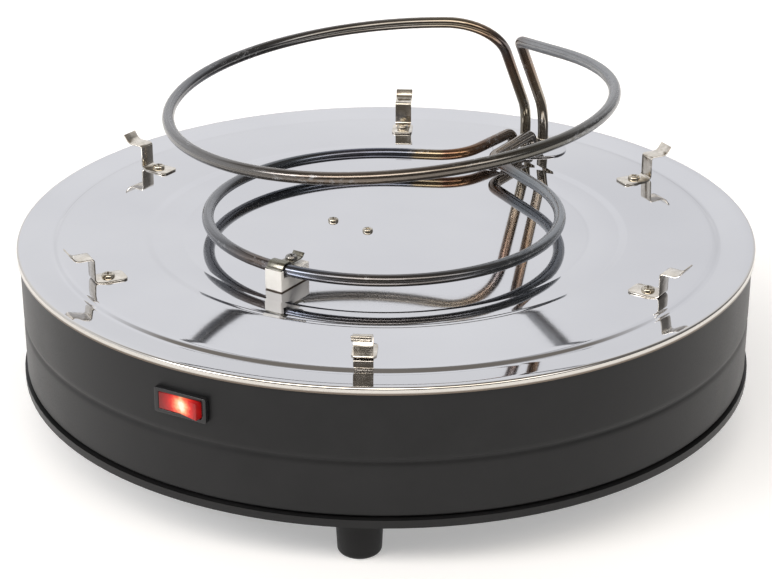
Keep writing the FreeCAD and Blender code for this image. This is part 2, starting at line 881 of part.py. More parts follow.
soften(flange, at_flange_corner, "flange_corner")
flange_sketch = sketch_on(flange, "XY_Plane")
for x, y in legs:
    off_x, off_y = "((%s) - (%s))" % (x, flange_x), "((%s) - (%s))" % (y, flange_y)
    along = "%s * cos(flange_turn) + %s * sin(flange_turn)" % (off_x, off_y)
    across = "%s * cos(flange_turn) - %s * sin(flange_turn)" % (off_y, off_x)
    circle(flange_sketch, "tube_hole", along, across)
pocket(flange, flange_sketch)
settle(flange, azimuth="flange_turn", x=flange_x, y=flange_y)


# ceramic block under the lower ring, with the strap that holds the tube in its groove

support = new_body("ceramic_support")
pad(support, outline(sketch_on(support, "XZ_Plane"), [
    ("support_inner", "dish_z"),
    ("support_outer", "dish_z"),
    ("support_outer", "support_top"),
    ("lower_ring + groove_half", "support_top"),
    ("lower_ring + groove_half", "seat_z - groove_half"),
    ("lower_ring - groove_half", "seat_z - groove_half"),
    ("lower_ring - groove_half", "support_top - support_tail_drop"),
    ("support_inner", "support_top - support_tail_drop"),
]), "support_width", both_ways=True)
drill(support, [("support_screw_circle", "0")], "small_hole")
settle(support, azimuth="support_azimuth", x="lower_x", y="lower_y")

strap = new_body("support_strap")
hump_foot = "groove_half + 0.15"
pad(strap, outline(sketch_on(strap, "XZ_Plane"), [
    ("strap_tip", "support_top + strap_curl"),
    ("strap_tip + strap_curl", "support_top"),
    ("lower_ring - (%s)" % hump_foot, "support_top"),
    ("lower_ring - tube_radius * 0.7", "hump_z"),
    ("lower_ring + tube_radius * 0.7", "hump_z"),
    ("lower_ring + %s" % hump_foot, "support_top"),
    ("support_outer", "support_top"),
    ("support_outer", "support_top + strap_gauge"),
    ("lower_ring + %s + strap_gauge * 0.6" % hump_foot, "support_top + strap_gauge"),
    ("lower_ring + tube_radius * 0.7 + strap_gauge * 0.6", "hump_z + strap_gauge"),
    ("lower_ring - tube_radius * 0.7 - strap_gauge * 0.6", "hump_z + strap_gauge"),
    ("lower_ring - (%s) - strap_gauge * 0.6" % hump_foot, "support_top + strap_gauge"),
    ("strap_tip + strap_curl + strap_gauge * 0.4", "support_top + strap_gauge"),
    ("strap_tip + strap_gauge * 0.7", "support_top + strap_curl + strap_gauge * 0.7"),
]), "strap_width", both_ways=True)
drill(strap, [("support_screw_circle", "0")], "small_hole")
strap_sketch = sketch_on(strap, "XY_Plane")
for side in ("strap_width / 2", "0 - strap_width / 2"):
    rectangle(strap_sketch, "strap_reach - groove_half - strap_gauge", "strap_width - strap_tab_width",
              "strap_tip + (strap_reach - groove_half - strap_gauge) / 2 - strap_gauge", side)
pocket(strap, strap_sketch)
settle(strap, azimuth="support_azimuth", x="lower_x", y="lower_y")

strap_top = "support_top + strap_gauge"
stack("strap_screw", support_screw_place, [
    ("round", "small_screw", None, "dish_under - small_nut_height - thread_end", strap_top),
    ("round", "strap_head", None, strap_top, strap_top + " + strap_head_height"),
], head=strap_top + " + strap_head_height")
stack("strap_nut", support_screw_place, [
    ("hexagon", "small_nut_flats", "small_nut_bore", "dish_under - small_nut_height", "dish_under"),
])


# six bent carrier clips with their screws and nuts

clip_names = ("clip_rear_right", "clip_rear", "clip_rear_left", "clip_front_left", "clip_front",
              "clip_front_right")


def carrier_clip(name, azimuth):
    """A strip cranked up from a screwed tab to a ledge with an upturned lip."""
    clip = new_body(name)
    half = "clip_tab_width / 2"
    pad(clip, outline(sketch_on(clip, "XY_Plane", "deck_z"), [
        ("clip_tab", "clip_tab_corner - " + half),
        ("clip_tab + clip_tab_corner", "0 - " + half),
        ("clip_face", "0 - " + half),
        ("clip_riser", "0 - clip_width / 2"),
        ("clip_riser", "clip_width / 2"),
        ("clip_face", half),
        ("clip_tab + clip_tab_corner", half),
        ("clip_tab", half + " - clip_tab_corner"),
    ]), "clip_gauge")
    pad(clip, outline(sketch_on(clip, "XZ_Plane"), [
        ("clip_face", "deck_z"),
        ("clip_riser", "deck_z"),
        ("clip_riser", "ledge_z - clip_gauge"),
        ("clip_valley + clip_gauge * 0.45", "ledge_z - clip_gauge"),
        ("clip_tip + clip_gauge", "ledge_z + clip_rise - clip_gauge * 0.3"),
        ("clip_tip", "ledge_z + clip_rise"),
        ("clip_valley", "ledge_z"),
        ("clip_face", "ledge_z"),
    ]), "clip_width", both_ways=True)

    def at_ledge_corner(edge, middle):
        return near(middle.x, "clip_face") and near(middle.z, "ledge_z")

    def at_ledge_inside(edge, middle):
        return near(middle.x, "clip_riser") and near(middle.z, "ledge_z - clip_gauge")

    soften(clip, at_ledge_corner, "clip_bend")
    soften(clip, at_ledge_inside, "clip_inner_bend")
    drill(clip, [("clip_circle", "0")], "screw_hole")
    settle(clip, azimuth=azimuth)


for number, name in enumerate(clip_names):
    carrier_clip(name, "clip_first + %d" % (60 * number))

tab_top = "deck_z + clip_gauge"
stack("clip_screws", clip_places, [
    ("round", "screw_radius", None, "deck_under - nut_height - thread_end", tab_top),
    ("round", "screw_head", None, tab_top, tab_top + " + screw_head_height"),
], head=tab_top + " + screw_head_height")
stack("clip_nuts", clip_places, [
    ("hexagon", "nut_flats", "nut_bore", "deck_under - nut_height", "deck_under"),
])


# thermostat under the dish

thermostat = new_body("thermostat")
pad(thermostat, rectangle(
    sketch_on(thermostat, "XY_Plane", "ear_z"), "thermostat_ear", "thermostat_ear_width"),
    "thermostat_ear_gauge")
pad(thermostat, circle(sketch_on(thermostat, "XY_Plane", "cup_z"), "thermostat_cup"),
    "thermostat_cup_height")
pad(thermostat, circle(sketch_on(thermostat, "XY_Plane", "base_z"), "thermostat_base"),
    "thermostat_base_height")
drill(thermostat, [("thermostat_pitch / 2", "0"), ("0 - thermostat_pitch / 2", "0")], "small_hole")
settle(thermostat, azimuth="thermostat_turn", x="thermostat_x", y="thermostat_y")

blades = new_body("thermostat_blades")
blade_sketch = sketch_on(blades, "XY_Plane", "blade_end")
rectangle(blade_sketch, "blade_gauge", "blade_width", x="blade_pitch / 2")
rectangle(blade_sketch, "blade_gauge", "blade_width", x="0 - blade_pitch / 2")
pad(blades, blade_sketch, "blade_length")
settle(blades, azimuth="thermostat_turn", x="thermostat_x", y="thermostat_y")

stack("thermostat_screws", thermostat_places, [
    ("round", "small_screw", None, "ear_z - small_nut_height - thread_end", "dish_z"),
    ("round", "small_head", None, "dish_z", "dish_z + small_head_height"),
], head="dish_z + small_head_height")
stack("thermostat_nuts", thermostat_places, [
    ("hexagon", "small_nut_flats", "small_nut_bore", "ear_z - small_nut_height", "ear_z"),
])


# rocker switch: housing with bezel, lens rocker on trunnions, lamp and blades

housing = new_body("switch_housing")
pad(housing, rectangle(
    sketch_on(housing, "YZ_Plane", "switch_back"), "switch_length", "switch_width"),
    "bezel_back - (switch_back)")
pad(housing, rectangle(
    sketch_on(housing, "YZ_Plane", "bezel_back"), "bezel_length", "bezel_width"), "bezel_depth")


def at_bezel_front(edge, middle):
    """The outer edges of the bezel's face."""
    return near(middle.x, "bezel_front") and near(edge.BoundBox.XLength, "0")


soften(housing, at_bezel_front, "bezel_edge")
pocket(housing, rectangle(
    sketch_on(housing, "YZ_Plane", "bezel_front"), "window_length", "window_width"), "window_depth")
trunnion_sketch = sketch_on(housing, "XY_Plane", "0 - bezel_width")
pocket(housing, circle(trunnion_sketch, "pivot_radius + pivot_play", "pivot_x", "0"))
settle(housing, azimuth="switch_azimuth", z="switch_height")

rocker = new_body("rocker")
rocker_half = "rocker_length / 2"
back_half = "rocker_back_length / 2"
pad(rocker, outline(sketch_on(rocker, "XY_Plane"), [
    ("rocker_face", "0"),
    ("rocker_end", "0 - " + rocker_half),
    ("rocker_end - rocker_flank", "0 - " + rocker_half),
    ("0 - rocker_back", "0 - " + back_half),
    ("0 - rocker_back", back_half),
    ("rocker_end - rocker_flank", rocker_half),
    ("rocker_end", rocker_half),
]), "rocker_width", both_ways=True)
pad(rocker, circle(sketch_on(rocker, "XY_Plane"), "pivot_radius"), "pivot_length", both_ways=True)
settle(rocker, azimuth="switch_azimuth - rocker_tilt", x="pivot_x * cos(switch_azimuth)",
       y="pivot_x * sin(switch_azimuth)", z="switch_height")

lamp = new_body("neon_lamp")
pad(lamp, circle(sketch_on(lamp, "XZ_Plane"), "lamp_radius", "lamp_x", "0"), "lamp_length", both_ways=True)
settle(lamp, azimuth="switch_azimuth", z="switch_height")

switch_blades = new_body("switch_blades")
blade_sketch = sketch_on(switch_blades, "YZ_Plane", "switch_back - blade_length")
for place in ("0 - blade_pitch", "0", "blade_pitch"):
    rectangle(blade_sketch, "blade_gauge", "blade_width", x=place)
pad(switch_blades, blade_sketch, "blade_length")
settle(switch_blades, azimuth="switch_azimuth", z="switch_height")


# cord gland in the wall with its nut inside

gland = new_body("cord_gland")
for radius, low, high in (
        ("gland_neck", "wall_inner - gland_neck_depth", "gland_seat"),
        ("gland_flange", "gland_seat", "gland_seat + gland_flange_depth"),
        ("gland_nose", "gland_seat + gland_flange_depth",
         "gland_seat + gland_flange_depth + gland_nose_depth")):
    gland_sketch = circle(sketch_on(gland, "YZ_Plane", low), radius)
    circle(gland_sketch, "gland_bore")
    pad(gland, gland_sketch, "(%s) - (%s)" % (high, low))
settle(gland, azimuth="gland_azimuth", z="gland_height")

gland_nut = new_body("gland_nut")
nut_sketch = sketch_on(gland_nut, "YZ_Plane", "gland_nut_face - gland_nut_height")
hexagon(nut_sketch, "gland_nut_flats", "0", "0")
circle(nut_sketch, "gland_neck + thread_play")
pad(gland_nut, nut_sketch, "gland_nut_height")
settle(gland_nut, azimuth="gland_azimuth", z="gland_height")


# terminal block on the pan, and the earth stud beside it

block = new_body("terminal_block")
pad(block, rectangle(sketch_on(block, "XY_Plane", "pan_top"), "block_width", "block_length"),
    "block_height")
well_sketch = sketch_on(block, "XY_Plane", "block_top")
for place in ("0 - block_pitch", "0", "block_pitch"):
    circle(well_sketch, "block_well", "0", place)
pocket(block, well_sketch, "block_well_depth")
drill(block, [("0", "block_screw_pitch / 2"), ("0", "0 - block_screw_pitch / 2")], "small_hole")
settle(block, azimuth="block_turn", x=block_x, y=block_y)

stack("terminal_screws", block_well_places, [
    ("round", "screw_radius", None, "block_top - block_well_depth", "block_top - screw_head_height"),
])
stack("block_screws", block_screw_places, [
    ("round", "small_screw", None, "foot_height - small_nut_height - thread_end", "block_top"),
    ("round", "small_head", None, "block_top", "block_top + small_head_height"),
], head="block_top + small_head_height")
stack("block_nuts", block_screw_places, [
    ("hexagon", "small_nut_flats", "small_nut_bore", "foot_height - small_nut_height", "foot_height"),
])
stack("earth_stud", earth_place, [("round", "screw_radius", None, "pan_top", "pan_top + earth_length")])
stack("earth_nut", earth_place, [("hexagon", "nut_flats", "nut_bore", "pan_top", "pan_top + nut_height")])

tag_z = "pan_top + nut_height"
stack("earth_tag", earth_place, [
    ("round", "earth_tag_radius", "nut_bore", tag_z, tag_z + " + earth_tag_gauge"),
])


# insulated leads: block to switch, switch to thermostat, on through both elements, back to block

def lead(label, points, bend="lead_bend"):
    """A lead that runs straight between its bends."""
    bends = [value(bend)] * (len(points) - 2)
    tube(label, bent_run(points, bends), points[0], points[1] - points[0], "lead_radius")


def level_with(point, height):
    """The point straight above or below another at a height."""
    return FreeCAD.Vector(point.x, point.y, value(height))


def facing(azimuth):
    """The level direction of an azimuth."""
    turn = math.radians(value(azimuth))
    return FreeCAD.Vector(math.cos(turn), math.sin(turn), 0)


def block_side(place):
    """Where a lead leaves the block's inner side, counted across from its middle."""
    centre = above((block_x, block_y), "lead_z")
    across = facing("block_turn + 90") * (place * value("block_pitch"))
    return centre + across - facing("block_turn") * value("block_width / 2")


def switch_blade(place):
    """The end of one of the switch's blades, counted across from its middle."""
    reach = facing("switch_azimuth") * value("switch_back - blade_length")
    across = facing("switch_azimuth + 90") * (place * value("blade_pitch"))
    return level_with(reach + across, "switch_height")


def thermostat_blade(place):
    """The lower end of one of the thermostat's blades."""
    across = facing("thermostat_turn") * (place * value("blade_pitch / 2"))
    centre = FreeCAD.Vector(value("thermostat_x"), value("thermostat_y"), 0)
    return level_with(centre + across, "blade_end")


block_inward = facing("block_turn") * -1
switch_inward = facing("switch_azimuth") * -1

live_start = block_side(0)
live_finish = switch_blade(-1)
live_turn = live_finish + switch_inward * value("lead_run")
lead("lead_live", [
    live_start, live_start + block_inward * value("live_run"),
    level_with(live_turn, "lead_z"), live_turn, live_finish])

switched_start = switch_blade(0)
switched_turn = switched_start + switch_inward * value("lead_run")
switched_finish = thermostat_blade(-1)
lead("lead_switched", [
    switched_start, switched_turn, level_with(switched_turn, "blade_end - switched_drop"),
    level_with(switched_finish, "blade_end - switched_drop"), switched_finish])

upper_left_pin = above(upper_legs[0], "pin_end")
upper_right_pin = above(upper_legs[1], "pin_end")
lower_left_pin = above(lower_legs[0], "pin_end")
lower_right_pin = above(lower_legs[1], "pin_end")
thermostat_start = thermostat_blade(1)
lead("lead_thermostat", [
    thermostat_start, level_with(thermostat_start, "pin_end - thermostat_drop"),
    level_with(upper_left_pin, "pin_end - thermostat_drop"), upper_left_pin])
lead("lead_link", [
    upper_right_pin, level_with(upper_right_pin, "pin_end - link_drop"),
    level_with(lower_right_pin, "pin_end - link_drop"), lower_right_pin], "link_bend")

neutral_start = block_side(-1)
neutral_turn = neutral_start + block_inward * value("lead_run")
lead("lead_neutral", [
    neutral_start, neutral_turn, level_with(neutral_turn, "pin_end - neutral_drop"),
    level_with(lower_left_pin, "pin_end - neutral_drop"), lower_left_pin])

earth_start = block_side(1)
earth_turn = earth_start + block_inward * value("earth_run")
earth_centre = above(earth_place[0], "lead_z")
earth_finish = earth_centre + unit(earth_turn - earth_centre) * value("earth_tag_radius + thread_play")
lead("lead_earth", [earth_start, earth_turn, earth_finish])


# checks and files

doc.recompute()
for node in nodes:
    faults = [word for word in node.State if word in ("Invalid", "Error")]
    if faults or node.Shape.isNull() or not node.Shape.isValid():
        raise RuntimeError("%s did not build: %s" % (node.Label, node.State))
for node in nodes:
    node.Shape.exportStep(os.path.join("parts", node.Label + ".step"))
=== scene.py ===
"""Looks of the heater base of a round table-top oven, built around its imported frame.

Lengths are millimetres in the part's own frame: origin on the floor under the
centre, front clip at -Y, Z up. Each mesh is brought to metres when it is finished.
"""

import logging
import math
from collections.abc import Callable
from dataclasses import dataclass
from enum import Enum

import bmesh
import bpy
from mathutils import Matrix, Vector

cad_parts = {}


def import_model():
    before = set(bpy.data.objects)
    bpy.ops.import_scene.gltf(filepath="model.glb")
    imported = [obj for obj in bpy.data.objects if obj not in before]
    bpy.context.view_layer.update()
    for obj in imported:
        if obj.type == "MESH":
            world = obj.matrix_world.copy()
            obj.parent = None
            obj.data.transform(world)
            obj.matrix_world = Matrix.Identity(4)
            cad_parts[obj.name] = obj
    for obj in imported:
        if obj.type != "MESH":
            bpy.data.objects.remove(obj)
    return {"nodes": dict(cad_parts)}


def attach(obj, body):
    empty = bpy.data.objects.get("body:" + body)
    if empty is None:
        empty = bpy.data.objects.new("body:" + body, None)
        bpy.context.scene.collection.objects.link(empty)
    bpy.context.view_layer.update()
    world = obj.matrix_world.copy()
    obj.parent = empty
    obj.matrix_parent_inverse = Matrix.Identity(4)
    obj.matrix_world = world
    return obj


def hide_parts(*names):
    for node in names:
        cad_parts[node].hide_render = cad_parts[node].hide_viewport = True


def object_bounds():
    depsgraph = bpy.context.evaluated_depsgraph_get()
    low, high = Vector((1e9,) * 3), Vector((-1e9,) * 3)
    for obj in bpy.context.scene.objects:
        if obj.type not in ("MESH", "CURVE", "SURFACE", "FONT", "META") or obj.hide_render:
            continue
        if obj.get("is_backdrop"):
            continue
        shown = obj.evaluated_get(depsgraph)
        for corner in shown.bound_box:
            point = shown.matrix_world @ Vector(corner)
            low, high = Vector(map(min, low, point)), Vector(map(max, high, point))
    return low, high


log = logging.getLogger("heater_base")

METRE = 0.001
FULL_TURN = 360.0

# Places nearer to each other than this are the same.
NEAR = 0.01

# Places that several pieces share: heights of the plate's deck and dish, radius of the clips' risers,
# and radius and centre of the lower element's ring.
DECK = 105.6
DISH = 103.8
CLIP_RISER = 173.5
LOWER_RING = 98.6
LOWER_CENTRE = (-1.24, 0.86)

Socket = bpy.types.NodeSocket
Material = bpy.types.Material
Point = tuple[float, float]
Triple = tuple[float, float, float]
Colour = Triple
Stops = tuple[tuple[float, Colour], ...]


class Body(Enum):
    """The bodies of the part that a piece can ride on."""

    BASE = "base"
    ROCKER = "rocker"


class Slot(Enum):
    """The finishes that the part's record names."""

    PLATE = "polished_steel"
    COAT = "black_coat"
    PLASTIC = "black_plastic"
    SHEATH = "heater_sheath"
    NICKEL = "nickel"
    ZINC = "zinc"
    CERAMIC = "ceramic"
    BRASS = "brass"
    BEZEL = "gloss_black"
    LENS = "red_lens"
    LAMP = "lamp_glass"
    BLOCK = "white_plastic"
    LEAD = "lead_sleeve"


# ---------------------------------------------------------------- finishes


class Pattern:
    """A node tree, with short ways to add to it."""

    def __init__(self, tree: bpy.types.NodeTree) -> None:
        """Take over a tree."""
        self.nodes = tree.nodes
        self.links = tree.links

    def mapped(self, source: Socket, scale: Triple) -> Socket:
        """Stretch coordinates by a factor along each axis."""
        node = self.nodes.new("ShaderNodeMapping")
        node.inputs["Scale"].default_value = scale
        self.links.new(source, node.inputs["Vector"])
        return node.outputs["Vector"]

    def span(self, source: Socket, low: float, high: float, first: float = 0.0,
             last: float = 1.0) -> Socket:
        """Map the range low to high onto first to last, and hold it there."""
        node = self.nodes.new("ShaderNodeMapRange")
        for name, value in (("From Min", low), ("From Max", high), ("To Min", first), ("To Max", last)):
            node.inputs[name].default_value = value
        self.links.new(source, node.inputs["Value"])
        return node.outputs["Result"]

    def ramp(self, source: Socket, stops: Stops) -> Socket:
        """Colour a value by stops from 0 to 1."""
        node = self.nodes.new("ShaderNodeValToRGB")
        ramp = node.color_ramp
        while len(ramp.elements) < len(stops):
            ramp.elements.new(1.0)
        for element, (position, colour) in zip(ramp.elements, stops):
            element.position = position
            element.color = (*colour, 1.0)
        self.links.new(source, node.inputs["Fac"])
        return node.outputs["Color"]

    def sum(self, first: Socket, second: Socket, operation: str = "ADD") -> Socket:
        """Add two values, or join them by another operation."""
        node = self.nodes.new("ShaderNodeMath")
        node.operation = operation
        self.links.new(first, node.inputs[0])
        self.links.new(second, node.inputs[1])
        return node.outputs["Value"]

    def blend(self, first: Socket, second: Socket, factor: Socket | float,
              kind: str = "MIX") -> Socket:
        """Blend two colours.

        Args:
            first: the colour below.
            second: the colour above.
            factor: how much of the second shows.
            kind: how they are blended.

        Returns:
            The blended colour.
        """
        node = self.nodes.new("ShaderNodeMix")
        node.data_type = "RGBA"
        node.blend_type = kind
        if isinstance(factor, float):
            node.inputs["Factor"].default_value = factor
        else:
            self.links.new(factor, node.inputs["Factor"])
        colours = [socket for socket in node.inputs if socket.type == "RGBA"]
        self.links.new(first, colours[0])
        self.links.new(second, colours[1])
        return next(socket for socket in node.outputs if socket.type == "RGBA")


class Shader(Pattern):
    """The node tree of one material."""

    def __init__(self, name: str) -> None:
        """Start a material with its Principled shader and Object coordinates."""
        self.material = bpy.data.materials.new(name)
        self.material.use_nodes = True
        super().__init__(self.material.node_tree)
        self.surface = self.nodes["Principled BSDF"]
        self.place = self.nodes.new("ShaderNodeTexCoord").outputs["Object"]

    def set(self, **values: object) -> None:
        """Set sockets of the surface, named with underscores for spaces."""
        for name, value in values.items():
            self.surface.inputs[name.replace("_", " ")].default_value = value

    def feed(self, source: Socket, name: str) -> None:
        """Link an output to a socket of the surface."""
        self.links.new(source, self.surface.inputs[name])

    def attribute(self, name: str, output: str = "Vector") -> Socket:
        """Return an attribute of the piece."""
        node = self.nodes.new("ShaderNodeAttribute")
        node.attribute_name = name
        return node.outputs[output]

    def noise(self, scale: float, detail: float = 2.0, rough: float = 0.5,
              source: Socket | None = None) -> Socket:
        """Add a noise pattern.

        Args:
            scale: features per metre.
            detail: octaves.
            rough: strength of the finer octaves.
            source: coordinates, or None for the place on the part.

        Returns:
            The pattern, about 0 to 1.
        """
        node = self.nodes.new("ShaderNodeTexNoise")
        node.inputs["Scale"].default_value = scale
        node.inputs["Detail"].default_value = detail
        node.inputs["Roughness"].default_value = rough
        self.links.new(source or self.place, node.inputs["Vector"])
        return node.outputs["Fac"]

    def distance(self, point: Triple) -> Socket:
        """Return how far the place on the part is from a point, in metres."""
        node = self.nodes.new("ShaderNodeVectorMath")
        node.operation = "DISTANCE"
        self.links.new(self.place, node.inputs[0])
        node.inputs[1].default_value = [length * METRE for length in point]
        return node.outputs["Value"]

    def height(self) -> Socket:
        """Return how high the place on the part is, in metres."""
        node = self.nodes.new("ShaderNodeSeparateXYZ")
        self.links.new(self.place, node.inputs["Vector"])
        return node.outputs["Z"]

    def relief(self, height: Socket, depth: float, strength: float = 1.0) -> None:
        """Raise the surface by a pattern.

        Args:
            height: the pattern, 0 to 1.
            depth: its height in millimetres.
            strength: how much of it shows.
        """
        node = self.nodes.new("ShaderNodeBump")
        node.inputs["Strength"].default_value = strength
        node.inputs["Distance"].default_value = depth * METRE
        self.links.new(height, node.inputs["Height"])
        under = self.surface.inputs["Normal"].links
        if under:
            self.links.new(under[0].from_socket, node.inputs["Normal"])
        self.feed(node.outputs["Normal"], "Normal")


@dataclass(frozen=True)
class PolishedSheet:
    """Mirror-polished stainless sheet with faint smears and hairlines, with painted shade along the rim's
    lower edge and a painted beige reflection tint on its skirt.
    """

    name: str = "polished_sheet"
    pale: Colour = (0.655, 0.66, 0.68)
    deep: Colour = (0.61, 0.615, 0.64)
    # Painted beige reflection tint of the skirt, and painted shade for the rim's lower edge below the hem.
    beige_reflection: Colour = (0.63, 0.605, 0.565)
    stain_and_shade: Colour = (0.17, 0.14, 0.115)
    rim: float = 204.9
    fade: float = 1.2
    hem: float = 103.75
    ragged: float = 0.35

    def make(self) -> Material:
        """Build the material."""
        shader = Shader(self.name)
        shader.set(Metallic=1.0)
        smear = shader.noise(9.0, 3.0, 0.55)
        clean = shader.ramp(smear, ((0.3, self.deep), (0.7, self.pale)))
        # Painted shade below the hem and a painted beige reflection tint above it, blended in only at the
        # rim's outer edge.
        painted_rim = shader.ramp(
            shader.span(shader.height(), (self.hem - self.ragged) * METRE, (self.hem + self.ragged) * METRE),
            ((0.0, self.stain_and_shade), (1.0, self.beige_reflection)))
        outer = shader.span(
            shader.distance((0.0, 0.0, self.hem)), (self.rim - self.fade) * METRE, self.rim * METRE)
        shader.feed(shader.blend(clean, painted_rim, outer), "Base Color")
        hairline = shader.noise(60.0, 2.0, 0.6, shader.mapped(shader.place, (1.0, 14.0, 1.0)))
        shader.feed(shader.span(shader.sum(smear, hairline), 0.6, 1.4, 0.025, 0.06), "Roughness")
        shader.relief(shader.noise(14.0, 1.0, 0.4), 0.02, 0.12)
        return shader.material


@dataclass(frozen=True)
class PowderCoat:
    """Satin black powder coat with a fine orange peel."""

    name: str = "black_powder_coat"
    dark: Colour = (0.0075, 0.0077, 0.0083)
    pale: Colour = (0.0115, 0.0117, 0.0124)

    def make(self) -> Material:
        """Build the material."""
        shader = Shader(self.name)
        shader.set(Specular_IOR_Level=0.27)
        cloud = shader.noise(30.0, 4.0, 0.6)
        shader.feed(shader.ramp(cloud, ((0.3, self.dark), (0.7, self.pale))), "Base Color")
        grain = shader.noise(1100.0, 2.0, 0.5)
        shader.feed(shader.span(shader.sum(cloud, grain), 0.6, 1.4, 0.36, 0.46), "Roughness")
        shader.relief(grain, 0.06, 0.25)
        return shader.material


@dataclass(frozen=True)
class MouldedPlastic:
    """Moulded plastic with a spark-eroded grain."""

    name: str
    dark: Colour
    pale: Colour
    rough: float = 0.45
    grain: float = 1500.0
    depth: float = 0.05
    gloss: float = 0.5

    def make(self) -> Material:
        """Build the material."""
        shader = Shader(self.name)
        shader.set(Specular_IOR_Level=self.gloss)
        cloud = shader.noise(55.0, 3.0, 0.6)
        grain = shader.noise(self.grain, 2.0, 0.6)
        shader.feed(shader.ramp(cloud, ((0.3, self.dark), (0.7, self.pale))), "Base Color")
        shader.feed(
            shader.span(shader.sum(cloud, grain), 0.6, 1.4, self.rough - 0.06, self.rough + 0.06),
            "Roughness")
        shader.relief(grain, self.depth, 0.3)
        return shader.material


@dataclass(frozen=True)
class PlatedMetal:
    """Rolled or turned metal with its plating, drawing lines and small stains, and painted shade low on the
    outside of a fold for the contact shadow at its foot.
    """

    name: str
    dark: Colour
    pale: Colour
    rough: float = 0.22
    lines: Triple = (1.0, 1.0, 6.0)
    fold: Point | None = None
    # Painted shade colour for the foot of the fold, and how far back and up it reaches.
    fold_shade: Colour = (0.045, 0.038, 0.032)
    fold_shade_setback: Point = (1.7, 1.0)
    fold_shade_rise: Point = (0.4, 1.1)

    def make(self) -> Material:
        """Build the material."""
        shader = Shader(self.name)
        shader.set(Metallic=1.0)
        stain_and_shade = shader.noise(140.0, 4.0, 0.65)
        plated = shader.ramp(stain_and_shade, ((0.32, self.dark), (0.62, self.pale)))
        # Painted shade: the base colour darkens low on the outside of the fold, for the contact shadow at
        # the riser's foot.
        if self.fold is not None:
            radius, height = self.fold
            inner, outer = (radius - setback for setback in self.fold_shade_setback)
            lower, upper = (height + rise for rise in self.fold_shade_rise)
            low = shader.span(shader.height(), lower * METRE, upper * METRE, 1.0, 0.0)
            out = shader.span(shader.distance((0.0, 0.0, height)), inner * METRE, outer * METRE)
            fold_shade = shader.ramp(stain_and_shade, ((0.32, self.fold_shade), (1.0, self.dark)))
            plated = shader.blend(plated, fold_shade, shader.sum(low, out, "MULTIPLY"))
        shader.feed(plated, "Base Color")
        drawn = shader.noise(260.0, 3.0, 0.6, shader.mapped(shader.place, self.lines))
        shader.feed(
            shader.span(shader.sum(stain_and_shade, drawn), 0.6, 1.4, self.rough - 0.07, self.rough + 0.1),
            "Roughness")
        shader.relief(drawn, 0.03, 0.15)
        return shader.material


@dataclass(frozen=True)
class HeatedSheath:
    """Oxidised steel tube, tinted by heat along its run and dulled where scale has grown."""

    name: str
    tints: Stops
    scaling: tuple[Point, ...]
    scale: Colour = (0.30, 0.31, 0.325)

    def make(self) -> Material:
        """Build the material."""
        shader = Shader(self.name)
        shader.set(Metallic=0.95)
        run = shader.attribute("along")
        streak = shader.noise(1.0, 5.0, 0.7, shader.mapped(run, (12.0, 700.0, 700.0)))
        fleck = shader.noise(1.0, 4.0, 0.65, shader.mapped(run, (280.0, 600.0, 600.0)))
        blotch = shader.noise(1.0, 3.0, 0.6, shader.mapped(run, (30.0, 110.0, 110.0)))
        wander = shader.span(blotch, 0.25, 0.75, -0.006, 0.006)
        share = shader.sum(shader.attribute("share", "Fac"), wander)
        tint = shader.ramp(share, self.tints)
        lines = shader.ramp(streak, (
            (0.32, (0.42, 0.40, 0.38)), (0.46, (0.86, 0.85, 0.84)), (0.56, (1.0, 1.0, 1.0)),
            (0.70, (1.45, 1.42, 1.38))))
        colour = shader.blend(tint, lines, 0.9, "MULTIPLY")
        dull = shader.ramp(share, tuple((place, (amount,) * 3) for place, amount in self.scaling))
        dulled = shader.sum(dull, shader.span(streak, 0.38, 0.62, 0.45, 1.0), "MULTIPLY")
        patch = shader.sum(shader.span(blotch, 0.54, 0.64),
                           shader.span(fleck, 0.50, 0.60, 0.0, 0.7), "MULTIPLY")
        grown = shader.sum(dulled, patch, "MAXIMUM")
        pale = shader.ramp(fleck, ((0.35, self.scale), (0.7, (0.40, 0.405, 0.415))))
        shader.feed(shader.blend(colour, pale, grown), "Base Color")
        shader.feed(shader.span(shader.sum(streak, grown), 0.35, 1.4, 0.08, 0.48), "Roughness")
        shader.relief(streak, 0.04, 0.3)
        shader.relief(fleck, 0.03, 0.2)
        return shader.material


@dataclass(frozen=True)
class FiredCeramic:
    """Off-white steatite with faint specks, dark brown in a narrow band at its foot."""

    name: str = "fired_ceramic"
    foot: float = -1.0
    body: Colour = (0.80, 0.79, 0.755)
    bloom: Colour = (0.86, 0.855, 0.83)
    # Dark brown colour of the band at the foot, and where it fades out above the foot.
    foot_tone: Colour = (0.085, 0.062, 0.045)
    foot_tone_rise: Point = (0.55, 0.9)

    def make(self) -> Material:
        """Build the material."""
        shader = Shader(self.name)
        cloud = shader.noise(120.0, 4.0, 0.65)
        grain = shader.noise(1700.0, 2.0, 0.6)
        clean = shader.ramp(cloud, ((0.3, self.body), (0.65, self.bloom)))
        # The base colour turns dark brown up to about 0.7 mm above the foot.
        ragged = shader.sum(shader.height(), shader.span(cloud, 0.3, 0.7, -0.1 * METRE, 0.1 * METRE))
        lower, upper = (self.foot + rise for rise in self.foot_tone_rise)
        above = shader.span(ragged, lower * METRE, upper * METRE)
        dark_foot = shader.ramp(cloud, ((0.3, self.foot_tone), (0.7, tuple(1.5 * part for part in self.foot_tone))))
        shader.feed(shader.blend(dark_foot, clean, above), "Base Color")
        shader.feed(shader.span(grain, 0.3, 0.7, 0.5, 0.66), "Roughness")
        shader.relief(grain, 0.06, 0.3)
        return shader.material


